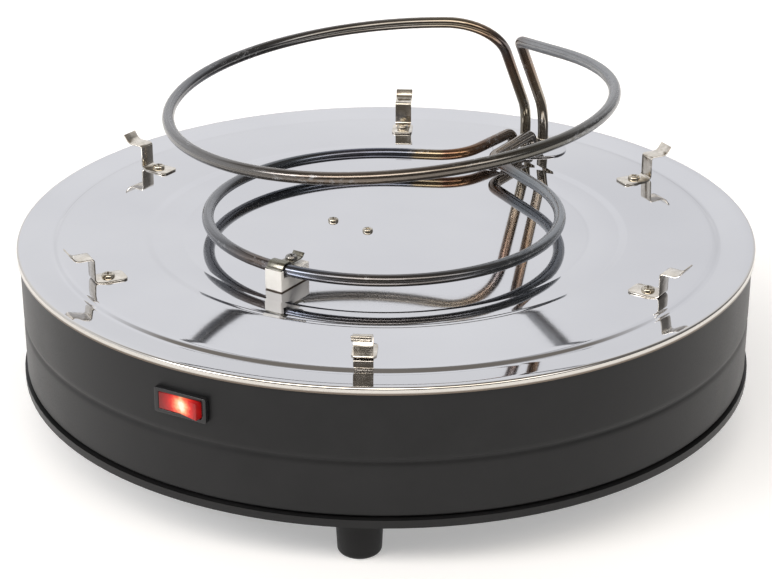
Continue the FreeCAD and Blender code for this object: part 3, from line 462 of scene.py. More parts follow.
@dataclass(frozen=True)
class LitLens:
    """Clear red lens with a lamp glowing behind it."""

    name: str
    lamp: Triple
    reach: float
    glow: Stops

    def make(self) -> Material:
        """Build the material."""
        shader = Shader(self.name)
        shader.set(Specular_IOR_Level=0.35, Emission_Strength=1.0)
        away = shader.span(shader.distance(self.lamp), 0.0, self.reach * METRE)
        ripple = shader.noise(420.0, 2.0, 0.5)
        spread = shader.sum(away, shader.span(ripple, 0.3, 0.7, -0.05, 0.05))
        shader.feed(shader.ramp(spread, self.glow), "Emission Color")
        shader.feed(
            shader.ramp(ripple, ((0.3, (0.10, 0.003, 0.003)), (0.7, (0.14, 0.005, 0.004)))),
            "Base Color")
        shader.feed(shader.span(ripple, 0.3, 0.7, 0.16, 0.26), "Roughness")
        shader.relief(ripple, 0.05, 0.25)
        return shader.material


# Heat tints of each element by its share of the run, from its left foot round to its right, and how
# much scale has grown there.
UPPER_TINTS: Stops = (
    (0.02, (0.29, 0.26, 0.22)), (0.05, (0.30, 0.27, 0.21)), (0.073, (0.25, 0.20, 0.15)),
    (0.097, (0.22, 0.15, 0.115)), (0.115, (0.18, 0.165, 0.17)), (0.128, (0.28, 0.20, 0.14)),
    (0.146, (0.26, 0.225, 0.175)), (0.172, (0.20, 0.185, 0.165)), (0.222, (0.18, 0.175, 0.168)),
    (0.273, (0.13, 0.13, 0.13)), (0.323, (0.16, 0.165, 0.175)), (0.40, (0.22, 0.22, 0.22)),
    (0.47, (0.19, 0.185, 0.18)), (0.505, (0.15, 0.14, 0.13)), (0.54, (0.175, 0.147, 0.125)),
    (0.60, (0.165, 0.15, 0.133)), (0.64, (0.145, 0.14, 0.125)), (0.70, (0.20, 0.20, 0.195)),
    (0.78, (0.28, 0.29, 0.305)), (0.855, (0.27, 0.275, 0.28)), (0.878, (0.18, 0.135, 0.11)),
    (0.895, (0.27, 0.18, 0.12)), (0.925, (0.29, 0.235, 0.175)), (0.955, (0.29, 0.265, 0.225)))
UPPER_SCALING: tuple[Point, ...] = (
    (0.30, 0.0), (0.38, 0.35), (0.44, 0.3), (0.49, 0.0), (0.66, 0.0), (0.74, 0.5), (0.78, 0.85),
    (0.86, 0.8), (0.872, 0.0))
LOWER_TINTS: Stops = (
    (0.03, (0.20, 0.17, 0.14)), (0.057, (0.22, 0.18, 0.15)), (0.082, (0.19, 0.13, 0.10)),
    (0.106, (0.29, 0.165, 0.09)), (0.118, (0.21, 0.12, 0.085)), (0.122, (0.28, 0.22, 0.14)),
    (0.143, (0.26, 0.215, 0.15)), (0.145, (0.115, 0.13, 0.165)), (0.186, (0.12, 0.125, 0.16)),
    (0.24, (0.12, 0.135, 0.15)), (0.292, (0.16, 0.165, 0.175)), (0.36, (0.21, 0.215, 0.23)),
    (0.40, (0.20, 0.205, 0.22)), (0.44, (0.15, 0.155, 0.165)), (0.478, (0.17, 0.14, 0.125)),
    (0.505, (0.13, 0.145, 0.175)), (0.558, (0.14, 0.132, 0.13)), (0.611, (0.13, 0.13, 0.135)),
    (0.664, (0.16, 0.17, 0.18)), (0.74, (0.25, 0.275, 0.30)), (0.80, (0.25, 0.275, 0.30)),
    (0.85, (0.20, 0.22, 0.235)), (0.876, (0.17, 0.13, 0.11)), (0.90, (0.31, 0.255, 0.20)),
    (0.928, (0.33, 0.285, 0.24)), (0.954, (0.25, 0.235, 0.22)))
LOWER_SCALING: tuple[Point, ...] = (
    (0.28, 0.0), (0.35, 0.4), (0.40, 0.3), (0.45, 0.0), (0.67, 0.0), (0.73, 0.55), (0.80, 0.55),
    (0.86, 0.15), (0.88, 0.0))


class Finishes:
    """Every finish of the part, built once."""

    def __init__(self) -> None:
        """Build the materials."""
        self.sheet = PolishedSheet().make()
        self.coat = PowderCoat().make()
        self.plastic = MouldedPlastic(
            "black_moulding", (0.005, 0.005, 0.0055), (0.009, 0.009, 0.0095),
            gloss=0.22).make()
        self.bezel = MouldedPlastic(
            "gloss_black_moulding", (0.006, 0.006, 0.007), (0.011, 0.011, 0.012),
            rough=0.2, grain=700.0, depth=0.01).make()
        self.block = MouldedPlastic(
            "white_moulding", (0.70, 0.69, 0.66), (0.78, 0.77, 0.74), rough=0.5).make()
        self.sleeve = MouldedPlastic(
            "woven_sleeve", (0.62, 0.60, 0.54), (0.74, 0.72, 0.66), rough=0.75,
            grain=900.0, depth=0.15).make()
        self.nickel = PlatedMetal(
            "nickel_strip", (0.52, 0.475, 0.405), (0.80, 0.755, 0.68), rough=0.13,
            fold=(CLIP_RISER, DECK)).make()
        self.tinted = PlatedMetal(
            "tinted_strip", (0.17, 0.165, 0.125), (0.37, 0.355, 0.31), rough=0.3).make()
        self.screw = PlatedMetal(
            "nickel_screw", (0.34, 0.30, 0.235), (0.66, 0.61, 0.52), rough=0.16,
            lines=(1.0, 1.0, 1.0)).make()
        self.dark_screw = PlatedMetal(
            "heated_screw", (0.20, 0.19, 0.175), (0.36, 0.345, 0.32), rough=0.2,
            lines=(1.0, 1.0, 1.0)).make()
        self.zinc = PlatedMetal(
            "zinc_steel", (0.5, 0.51, 0.53), (0.66, 0.67, 0.68), rough=0.32).make()
        self.brass = PlatedMetal(
            "brass", (0.55, 0.40, 0.16), (0.74, 0.56, 0.27), rough=0.28).make()
        self.ceramic = FiredCeramic().make()
        self.dark_footed = FiredCeramic("dark_foot_ceramic", foot=DISH).make()
        self.glass = MouldedPlastic(
            "lamp_glass", (0.75, 0.42, 0.22), (0.88, 0.55, 0.33), rough=0.12, depth=0.01).make()
        self.upper_sheath = HeatedSheath("upper_sheath", UPPER_TINTS, UPPER_SCALING).make()
        self.lower_sheath = HeatedSheath("lower_sheath", LOWER_TINTS, LOWER_SCALING).make()

    def by_slot(self) -> dict[str, Material]:
        """Return the finish of each slot, for the solids that are kept as they are."""
        return {
            Slot.PLATE.value: self.sheet, Slot.COAT.value: self.coat, Slot.PLASTIC.value: self.plastic,
            Slot.SHEATH.value: self.upper_sheath, Slot.NICKEL.value: self.nickel,
            Slot.ZINC.value: self.zinc, Slot.CERAMIC.value: self.ceramic, Slot.BRASS.value: self.brass,
            Slot.BEZEL.value: self.bezel, Slot.LAMP.value: self.glass, Slot.BLOCK.value: self.block,
            Slot.LEAD.value: self.sleeve, Slot.LENS.value: self.plastic,
        }


# ---------------------------------------------------------------- shaping


class Workpiece:
    """A mesh in the making, in millimetres, shaped with bmesh operators."""

    def __init__(self) -> None:
        """Start with an empty mesh."""
        self.mesh = bmesh.new()

    def bevel(self, geom: list, length: float, segments: int, affect: str = "EDGES") -> None:
        """Round edges or corners.

        Args:
            geom: the edges or vertices.
            length: how far back the rounding starts.
            segments: steps across it.
            affect: what is rounded, EDGES or VERTICES.
        """
        bmesh.ops.bevel(
            self.mesh, geom=geom, offset=length, offset_type="OFFSET", segments=segments, profile=0.5,
            affect=affect, clamp_overlap=True, material=-1)

    @staticmethod
    def fresh(drawn: list) -> tuple[list, list]:
        """Return the vertices that an extrusion made, and the edges between them."""
        verts = [item for item in drawn if isinstance(item, bmesh.types.BMVert)]
        made = set(verts)
        edges = [item for item in drawn if isinstance(item, bmesh.types.BMEdge)
                 and item.verts[0] in made and item.verts[1] in made]
        return verts, edges

    def wire(self, points: list[Triple],
             bends: dict[int, float] | None = None, segments: int = 6) -> tuple[list, list]:
        """Lay a line of edges through points and round its corners.

        Args:
            points: corners of the line.
            bends: how far back each rounded corner starts, by its number.
            segments: edges in each rounded corner.

        Returns:
            The vertices and the edges of the line.
        """
        before = set(self.mesh.verts)
        corners = [self.mesh.verts.new(point) for point in points]
        for first, second in zip(corners, corners[1:]):
            self.mesh.edges.new((first, second))
        for number, length in (bends or {}).items():
            self.bevel([corners[number]], length, segments, "VERTICES")
        verts = [vert for vert in self.mesh.verts if vert not in before]
        edges = {edge for vert in verts for edge in vert.link_edges}
        return verts, list(edges)

    def turn(self, profile: list[Point], bends: dict[int, float], steps: int = 192,
             segments: int = 6) -> None:
        """Turn a profile of (radius, height) about Z.

        Args:
            profile: corners of the profile.
            bends: rounded corners, as for wire().
            steps: faces around.
            segments: edges in each rounded corner.
        """
        verts, edges = self.wire([(radius, 0.0, height) for radius, height in profile], bends, segments)
        bmesh.ops.spin(
            self.mesh, geom=verts + edges, cent=(0, 0, 0), axis=(0, 0, 1), dvec=(0, 0, 0),
            angle=math.tau, steps=steps, use_merge=True, use_normal_flip=False, use_duplicate=False)
        self.close()

    def fold(self, profile: list[Point], bends: dict[int, float], width: float,
             segments: int = 6) -> None:
        """Draw a line of (reach, height) out to a strip across Y.

        Args:
            profile: corners of the strip, seen from its edge.
            bends: rounded corners, as for wire().
            width: width of the strip.
            segments: edges in each rounded corner.
        """
        points = [(reach, -width / 2, height) for reach, height in profile]
        _, edges = self.wire(points, bends, segments)
        moved, _ = self.fresh(bmesh.ops.extrude_edge_only(self.mesh, edges=edges)["geom"])
        bmesh.ops.translate(self.mesh, verts=moved, vec=(0, width, 0))
        bmesh.ops.recalc_face_normals(self.mesh, faces=self.mesh.faces[:])

    def prism(self, outline: list[Point], width: float) -> None:
        """Draw an outline of (reach, height) out to a solid, centred on Y."""
        corners = [self.mesh.verts.new((reach, -width / 2, height)) for reach, height in outline]
        face = self.mesh.faces.new(corners)
        moved, _ = self.fresh(bmesh.ops.extrude_face_region(self.mesh, geom=[face])["geom"])
        bmesh.ops.translate(self.mesh, verts=moved, vec=(0, width, 0))
        bmesh.ops.recalc_face_normals(self.mesh, faces=self.mesh.faces[:])

    def thicken(self, gauge: float) -> None:
        """Give a sheet its thickness, half to each side."""
        for vert in self.mesh.verts:
            vert.normal_update()
        for vert in self.mesh.verts:
            vert.co += vert.normal * (gauge / 2)
        bmesh.ops.solidify(self.mesh, geom=self.mesh.faces[:], thickness=gauge)
        bmesh.ops.recalc_face_normals(self.mesh, faces=self.mesh.faces[:])

    def soften(self, length: float, segments: int = 2, angle: float = 40.0) -> None:
        """Round every edge sharper than an angle.

        Args:
            length: how far back the rounding starts.
            segments: faces across it.
            angle: the least turn of an edge that is rounded, in degrees.
        """
        self.mesh.normal_update()
        sharp = [edge for edge in self.mesh.edges
                 if len(edge.link_faces) == 2 and edge.calc_face_angle(0.0) > math.radians(angle)]
        self.bevel(sharp, length, segments)

    def close(self) -> None:
        """Merge doubles and turn the faces outward."""
        bmesh.ops.remove_doubles(self.mesh, verts=self.mesh.verts[:], dist=1e-4)
        bmesh.ops.recalc_face_normals(self.mesh, faces=self.mesh.faces[:])

    def place(self, azimuth: float = 0.0, x: float = 0.0, y: float = 0.0, z: float = 0.0) -> None:
        """Turn everything made so far about Z, and move it."""
        matrix = Matrix.Translation((x, y, z)) @ Matrix.Rotation(math.radians(azimuth), 4, "Z")
        bmesh.ops.transform(self.mesh, matrix=matrix, verts=self.mesh.verts[:])

    def add(self, other: "Workpiece") -> None:
        """Take over another piece's mesh."""
        made = bpy.data.meshes.new("joined")
        other.mesh.to_mesh(made)
        other.mesh.free()
        self.mesh.from_mesh(made)
        bpy.data.meshes.remove(made)

    def finish(self, name: str, finish: Material, slot: Slot, nodes: tuple[str, ...] = (),
               body: Body = Body.BASE, crease: float = 38.0) -> None:
        """Bring the mesh to metres and make it a piece of the part.

        Args:
            name: name of the piece.
            finish: its material.
            slot: the record's slot that the finish belongs to; not used.
            nodes: solids that it stands for.
            body: what it rides on.
            crease: edges sharper than this stay sharp, in degrees.
        """
        bmesh.ops.scale(self.mesh, vec=(METRE,) * 3, verts=self.mesh.verts[:])
        data = bpy.data.meshes.new(name)
        self.mesh.to_mesh(data)
        self.mesh.free()
        data.shade_smooth()
        data.set_sharp_from_angle(angle=math.radians(crease))
        data.materials.append(finish)
        piece = bpy.data.objects.new(name, data)
        bpy.context.scene.collection.objects.link(piece)
        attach(piece, body.value)
        if nodes:
            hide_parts(*nodes)
        log.info("%s: %d faces", name, len(data.polygons))


class BentTube(Workpiece):
    """A round tube led along straight runs and bends, with its run kept as an attribute."""

    corner_step = 7.0

    def __init__(self, radius: float, start: Vector, heading: Vector, sides: int = 28) -> None:
        """Start with the open ring of the tube's first end.

        Args:
            radius: outside radius of the tube.
            start: centre of its first end.
            heading: the way that it sets out.
            sides: faces around.
        """
        super().__init__()
        self.along = self.mesh.verts.layers.float_vector.new("along")
        self.share = self.mesh.verts.layers.float.new("share")
        self.radius = radius
        self.head = start.copy()
        self.heading = heading.normalized()
        self.length = 0.0
        bmesh.ops.create_circle(
            self.mesh, cap_ends=False, radius=radius, segments=sides,
            matrix=Matrix.Translation(start) @ self.heading.to_track_quat("Z", "Y").to_matrix().to_4x4())
        self.ring = self.mesh.verts[:]
        self.edges = self.mesh.edges[:]
        self.laps = [math.tau * number / sides for number in range(sides)]
        self.mark()
        bmesh.ops.contextual_create(self.mesh, geom=self.edges)

    def mark(self) -> None:
        """Write the run and the place around onto the ring, in metres."""
        for vert, lap in zip(self.ring, self.laps):
            vert[self.along] = Vector((
                self.length, self.radius * math.cos(lap), self.radius * math.sin(lap))) * METRE

    def draw(self) -> None:
        """Extrude the ring, in place, and go on with the new one."""
        verts, self.edges = self.fresh(
            bmesh.ops.extrude_edge_only(self.mesh, edges=self.edges)["geom"])
        ahead = {edge.other_vert(vert): vert for vert in verts for edge in vert.link_edges}
        self.ring = [ahead[vert] for vert in self.ring]

    def straight(self, end: Vector, most: float = 12.0) -> None:
        """Go straight on to a point, in steps of a length at most."""
        whole = end - self.head
        steps = max(1, math.ceil(whole.length / most))
        for _ in range(steps):
            self.draw()
            bmesh.ops.translate(self.mesh, verts=self.ring, vec=whole / steps)
            self.length += whole.length / steps
            self.mark()
        self.head = end.copy()

    def bend(self, centre: Vector, axis: Vector, angle: float, step: float = 3.0) -> None:
        """Go round a centre.

        Args:
            centre: a point on the axis.
            axis: the line that the tube turns about.
            angle: how far, in degrees.
            step: the largest step, in degrees.
        """
        steps = max(1, math.ceil(abs(angle) / step))
        turn = Matrix.Rotation(math.radians(angle) / steps, 3, axis)
        reach = (self.head - centre).cross(axis.normalized()).length
        for _ in range(steps):
            self.draw()
            bmesh.ops.rotate(self.mesh, verts=self.ring, cent=centre, matrix=turn)
            self.length += reach * math.radians(abs(angle)) / steps
            self.mark()
            self.head = centre + turn @ (self.head - centre)
            self.heading = turn @ self.heading

    def lead(self, corners: list[Vector], radii: Point) -> None:
        """Lead the tube through corners to the last point, rounding each corner.

        Args:
            corners: points to go by, with the end last.
            radii: bend radius at each corner but the last.
        """
        for corner, after, radius in zip(corners, corners[1:], radii):
            inward = (corner - self.head).normalized()
            outward = (after - corner).normalized()
            turn = inward.angle(outward)
            back = radius * math.tan(turn / 2)
            self.straight(corner - inward * back)
            axis = inward.cross(outward).normalized()
            centre = self.head + axis.cross(inward) * radius
            self.bend(centre, axis, math.degrees(turn), self.corner_step)
        self.straight(corners[-1])

    def cap(self) -> None:
        """Close the far end and write each vertex's share of the whole run."""
        bmesh.ops.contextual_create(self.mesh, geom=self.edges)
        for vert in self.mesh.verts:
            vert[self.share] = vert[self.along].x / (self.length * METRE)
        bmesh.ops.recalc_face_normals(self.mesh, faces=self.mesh.faces[:])


@dataclass(frozen=True)
class CrossScrew:
    """A pan-head screw with a cross recess.

    The sizes of the head's flat, cross and dome are shares of its radius and height.
    """

    radius: float
    height: float
    shank: float
    length: float
    arm: float = 0.56
    arm_half: float = 0.15
    recess_top: float = 0.96
    recess_depth: float = 0.62
    recess_taper: float = 0.72
    flat: Point = (0.74, 0.92)
    dome: tuple[Point, ...] = ((0.88, 0.78), (0.96, 0.56), (1.0, 0.26), (1.0, 0.0))

    def make(self, x: float, y: float, z: float, azimuth: float) -> Workpiece:
        """Build one screw, its head sitting at a height.

        Args:
            x: place across.
            y: place back.
            z: height of the seat.
            azimuth: how the cross is turned, in degrees.

        Returns:
            The screw.
        """
        work = Workpiece()
        arm, half = self.radius * self.arm, self.radius * self.arm_half
        outline = [(half, arm), (half, half), (arm, half), (arm, -half), (half, -half), (half, -arm),
                   (-half, -arm), (-half, -half), (-arm, -half), (-arm, half), (-half, half), (-half, arm)]
        level = self.height * self.recess_top
        cross = [work.mesh.verts.new((across, along, level)) for across, along in outline]
        edges = [work.mesh.edges.new(pair) for pair in zip(cross, cross[1:] + cross[:1])]
        bmesh.ops.subdivide_edges(work.mesh, edges=edges, cuts=1)
        rim = work.mesh.edges[:]
        ring = bmesh.ops.create_circle(
            work.mesh, cap_ends=False, radius=self.radius * self.flat[0], segments=24,
            matrix=Matrix.Translation((0, 0, self.height * self.flat[1])))["verts"]
        circle = list({edge for vert in ring for edge in vert.link_edges})
        bmesh.ops.bridge_loops(work.mesh, edges=rim + circle)
        self.sink(work, rim)
        self.draw_down(work, circle)
        work.close()
        work.place(azimuth, x, y, z)
        return work

    def sink(self, work: Workpiece, rim: list) -> None:
        """Draw the cross down into the head, tapering, and close its floor."""
        verts, floor = work.fresh(bmesh.ops.extrude_edge_only(work.mesh, edges=rim)["geom"])
        bmesh.ops.translate(work.mesh, verts=verts, vec=(0, 0, -self.height * self.recess_depth))
        bmesh.ops.scale(work.mesh, verts=verts, vec=(self.recess_taper, self.recess_taper, 1.0))
        bmesh.ops.contextual_create(work.mesh, geom=floor)

    def draw_down(self, work: Workpiece, circle: list) -> None:
        """Draw the rim of the flat out to the dome, the seat and the shank."""
        edges, radius, height = circle, self.radius * self.flat[0], self.height * self.flat[1]
        rings = [(self.radius * share, self.height * level) for share, level in self.dome]
        for new_radius, new_height in rings + [(self.shank, 0.0), (self.shank, -self.length)]:
            edges, radius, height = self.step(work, edges, radius, height, new_radius, new_height)
        bmesh.ops.contextual_create(work.mesh, geom=edges)

    @staticmethod
    def step(work: Workpiece, edges: list, radius: float, height: float, new_radius: float,
             new_height: float) -> tuple[list, float, float]:
        """Draw a ring on to a new radius and height.

        Args:
            work: the piece.
            edges: the ring so far.
            radius: its radius.
            height: its height.
            new_radius: radius of the next ring.
            new_height: height of the next ring.

        Returns:
            The next ring, its radius and its height.
        """
        verts, drawn = work.fresh(bmesh.ops.extrude_edge_only(work.mesh, edges=edges)["geom"])
        scale = new_radius / radius
        bmesh.ops.scale(work.mesh, verts=verts, vec=(scale, scale, 1.0))
        bmesh.ops.translate(work.mesh, verts=verts, vec=(0, 0, new_height - height))
        return drawn, new_radius, new_height


def polar(radius: float, azimuth: float) -> Point:
    """Return a place in plan from its radius and azimuth."""
    turn = math.radians(azimuth)
    return radius * math.cos(turn), radius * math.sin(turn)


UPPER_LEGS = (polar(167.13, 62.32), polar(170.78, 58.75))


# ---------------------------------------------------------------- sub-assemblies


@dataclass
class Plate:
    """The polished plate: dish, deck, step, coned rim and rolled skirt."""

    finishes: Finishes
    radius: float = 205.4
    gauge: float = 0.8
    foot: float = 104.4
    dish: float = DISH
    dish_stops: tuple[float, ...] = (0.0, 60.0, 108.0, 112.4)
    crest: float = 106.7
    skirt: float = 102.7
    rim_rises: tuple[Point, ...] = ((185.6, 0.0), (188.2, 0.31), (199.5, 1.65))
    ledge_inner: float = 114.0
    ledge_outer: float = 131.0
    ledge_dip: float = 0.08
    ledge_slope: float = 0.0861
    ledge_dome: float = 0.00225
    deck_inner: float = 134.6
    deck_outer: float = 182.6
    deck_middle: float = 158.0
    deck: float = 105.45
    deck_slope: float = 0.01734
    deck_hollow: float = 0.000322
    dish_bend: float = 0.5
    ledge_bend: float = 0.7
    step_bend: float = 1.1
    roll: float = 1.2

    def build(self) -> None:
        """Turn the plate as one sheet."""
        work = Workpiece()
        top = self.gauge / 2
        dish = [(radius, self.dish) for radius in self.dish_stops]
        ledge = self.spread(self.ledge_inner, self.ledge_outer, 12, self.on_ledge)
        deck = self.spread(self.deck_inner, self.deck_outer, 12, self.on_deck)
        rim = [(radius, self.foot + rise) for radius, rise in self.rim_rises]
        crest = len(dish + ledge + deck + rim)
        rim += [(self.radius - top, self.crest), (self.radius - top, self.skirt + top)]
        profile = [(radius, height - top) for radius, height in dish + ledge + deck + rim]
        first, second = len(dish), len(dish + ledge)
        edge = len(dish + ledge + deck)
        bends = {first - 1: self.dish_bend, first: self.dish_bend, second - 1: self.ledge_bend,
                 second: self.ledge_bend, edge - 1: self.step_bend, edge: self.step_bend,
                 crest: self.roll}
        work.turn(profile, bends, steps=256, segments=6)
        work.thicken(self.gauge)
        work.finish("plate", self.finishes.sheet, Slot.PLATE, ("top_plate",), crease=50.0)

    @staticmethod
    def spread(inner: float, outer: float, count: int, height: Callable[[float], float]) -> list[Point]:
        """Return points of the profile between two radii.

        Args:
            inner: the first radius.
            outer: the last radius.
            count: steps between them.
            height: height of the top face at a radius.

        Returns:
            The (radius, height) points.
        """
        radii = [inner + (outer - inner) * step / count for step in range(count + 1)]
        return [(radius, height(radius)) for radius in radii]

    def on_ledge(self, radius: float) -> float:
        """Return the height of the domed ledge around the dish."""
        out = radius - self.ledge_inner
        return self.dish - self.ledge_dip + self.ledge_slope * out - self.ledge_dome * out ** 2

    def on_deck(self, radius: float) -> float:
        """Return the height of the deck, which is faintly hollow."""
        out = radius - self.deck_middle
        return self.deck + self.deck_slope * out + self.deck_hollow * out ** 2


@dataclass
class Drum:
    """The black drum wall with its rolled groove, and the feet under the pan."""

    finishes: Finishes
    radius: float = 203.85
    gauge: float = 0.8
    top: float = 105.4
    foot: float = 35.9
    bead: float = 66.0
    bead_half: float = 2.4
    bead_depth: float = 1.0
    bead_clear: float = 6.0
    bead_bends: Triple = (1.1, 1.0, 1.1)
    flange: float = 11.4
    flange_clear: float = 3.0
    flange_bend: float = 0.7
    foot_circle: float = 175.0
    foot_height: float = 31.2
    foot_turn: float = -0.7
    foot_top: float = 12.7
    foot_tip: float = 11.3
    foot_bore: float = 2.2
    foot_well: float = 4.6
    foot_seat: float = 19.0
    foot_bends: Triple = (0.5, 2.6, 0.5)

    def build(self) -> None:
        """Build the wall and the feet."""
        self.wall()
        for number, name in enumerate(("foot_right", "foot_rear", "foot_left", "foot_front")):
            self.rest(name, number * 90.0 + self.foot_turn)

    def wall(self) -> None:
        """Turn the wall from its top edge down to the flange under it."""
        work = Workpiece()
        middle = self.radius - self.gauge / 2
        profile = [
            (middle, self.top), (middle, self.bead + self.bead_clear),
            (middle, self.bead + self.bead_half), (middle - self.bead_depth, self.bead),
            (middle, self.bead - self.bead_half), (middle, self.bead - self.bead_clear),
            (middle, self.foot + self.flange_clear), (middle, self.foot + self.gauge / 2),
            (self.radius - self.flange, self.foot + self.gauge / 2),
        ]
        bends = dict(enumerate(self.bead_bends, 2)) | {7: self.flange_bend}
        work.turn(profile, bends, steps=256, segments=5)
        work.thicken(self.gauge)
        work.finish("drum", self.finishes.coat, Slot.COAT, ("drum_wall",))

    def rest(self, name: str, azimuth: float) -> None:
        """Turn one foot.

        Args:
            name: the solid that it stands for.
            azimuth: its place around, in degrees.
        """
        work = Workpiece()
        profile = [
            (self.foot_bore, self.foot_height), (self.foot_top, self.foot_height), (self.foot_tip, 0.0),
            (self.foot_well, 0.0), (self.foot_well, self.foot_seat), (self.foot_bore, self.foot_seat),
            (self.foot_bore, self.foot_height),
        ]
        work.turn(profile, dict(enumerate(self.foot_bends, 1)), steps=64, segments=6)
        work.place(0.0, *polar(self.foot_circle, azimuth))
        work.finish("rest_" + name, self.finishes.plastic, Slot.PLASTIC, (name,))


@dataclass(frozen=True)
class TiltedRing:
    """The circle that the middle of a tube follows, tilted about its centre."""

    radius: float
    centre: Triple
    tilt: float
    tilt_azimuth: float

    def axes(self) -> tuple[Vector, Vector]:
        """Return the directions straight uphill and level across."""
        lean, rise = math.radians(self.tilt_azimuth), math.radians(self.tilt)
        uphill = Vector((math.cos(lean) * math.cos(rise), math.sin(lean) * math.cos(rise), math.sin(rise)))
        return uphill, Vector((-math.sin(lean), math.cos(lean), 0.0))

    def middle(self) -> Vector:
        """Return the centre."""
        return Vector(self.centre)

    def axis(self) -> Vector:
        """Return the direction that the ring turns about."""
        uphill, level = self.axes()
        return uphill.cross(level)

    def point(self, azimuth: float) -> Vector:
        """Return a point on the ring."""
        uphill, level = self.axes()
        turn = math.radians(azimuth - self.tilt_azimuth)
        return self.middle() + (uphill * math.cos(turn) + level * math.sin(turn)) * self.radius

    def heading(self, azimuth: float) -> Vector:
        """Return the anticlockwise direction of the ring."""
        uphill, level = self.axes()
        turn = math.radians(azimuth - self.tilt_azimuth)
        return level * math.cos(turn) - uphill * math.sin(turn)


@dataclass
class Heaters:
    """The two tubular elements."""

    finishes: Finishes
    tube: float = 3.25
    tail: float = 80.4
    knee: float = 126.5
    upper_ring: TiltedRing = TiltedRing(120.2, (3.4, -16.0, 189.6), 4.96, 17.2)
    upper_droop: float = 2.67
    upper_legs: tuple[Point, Point] = UPPER_LEGS
    upper_ends: Point = (79.0, 38.55)
    upper_reach: Point = (32.9, 40.6)
    upper_left_bends: Point = (26.0, 31.0)
    upper_right_bends: Point = (5.8, 35.5)
    lower_ring: TiltedRing = TiltedRing(LOWER_RING, (*LOWER_CENTRE, 113.88), 0.614, 259.6)
    lower_legs: tuple[Point, Point] = (polar(154.93, 63.16), polar(162.18, 59.72))
    lower_tops: Point = (114.7, 113.0)
    lower_ends: Point = (87.45, 31.0)
    lower_reach: Point = (36.25, 51.0)
    lower_left_bends: Point = (6.0, 30.0)
    lower_right_bends: Point = (12.8, 6.0)
    front: float = 270.0
    crease: float = 60.0

    def build(self) -> None:
        """Bend both elements."""
        self.upper()
        self.lower()

    def upper(self) -> None:
        """Bend the tilted ring with its two cranked legs."""
        ring = self.upper_ring
        (left_end, right_end), (left_reach, right_reach) = self.upper_ends, self.upper_reach
        left, right = self.upper_legs
        hinge = ring.point(self.front)
        droop = Matrix.Rotation(math.radians(-self.upper_droop), 3, ring.heading(self.front))
        drooped = hinge + droop @ (ring.point(right_end) - hinge)
        corner = drooped + (droop @ ring.heading(right_end)) * right_reach
        work = BentTube(self.tube, Vector((*left, self.tail)), Vector((0, 0, 1)))
        work.lead(
            [Vector((*left, self.knee)), ring.point(left_end) - ring.heading(left_end) * left_reach,
             ring.point(left_end)], self.upper_left_bends)
        work.bend(ring.middle(), ring.axis(), self.front - left_end)
        work.bend(
            hinge + droop @ (ring.middle() - hinge), droop @ ring.axis(), FULL_TURN + right_end - self.front)
        work.lead(
            [corner, Vector((*right, self.knee)), Vector((*right, self.tail))], self.upper_right_bends)
        work.cap()
        work.finish(
            "upper_element", self.finishes.upper_sheath, Slot.SHEATH, ("upper_heater",), crease=self.crease)

    def lower(self) -> None:
        """Bend the nearly level ring with its ends led out and down."""
        ring = self.lower_ring
        (left_end, right_end), (left_reach, right_reach) = self.lower_ends, self.lower_reach
        (left, right), (left_top, right_top) = self.lower_legs, self.lower_tops
        work = BentTube(self.tube, Vector((*left, self.tail)), Vector((0, 0, 1)))
        work.lead(
            [Vector((*left, left_top)), ring.point(left_end) - ring.heading(left_end) * left_reach,
             ring.point(left_end)], self.lower_left_bends)
        work.bend(ring.middle(), ring.axis(), FULL_TURN + right_end - left_end)
        work.lead(
            [ring.point(right_end) + ring.heading(right_end) * right_reach,
             Vector((*right, right_top)), Vector((*right, self.tail))], self.lower_right_bends)
        work.cap()
        work.finish(
            "lower_element", self.finishes.lower_sheath, Slot.SHEATH, ("lower_heater",), crease=self.crease)


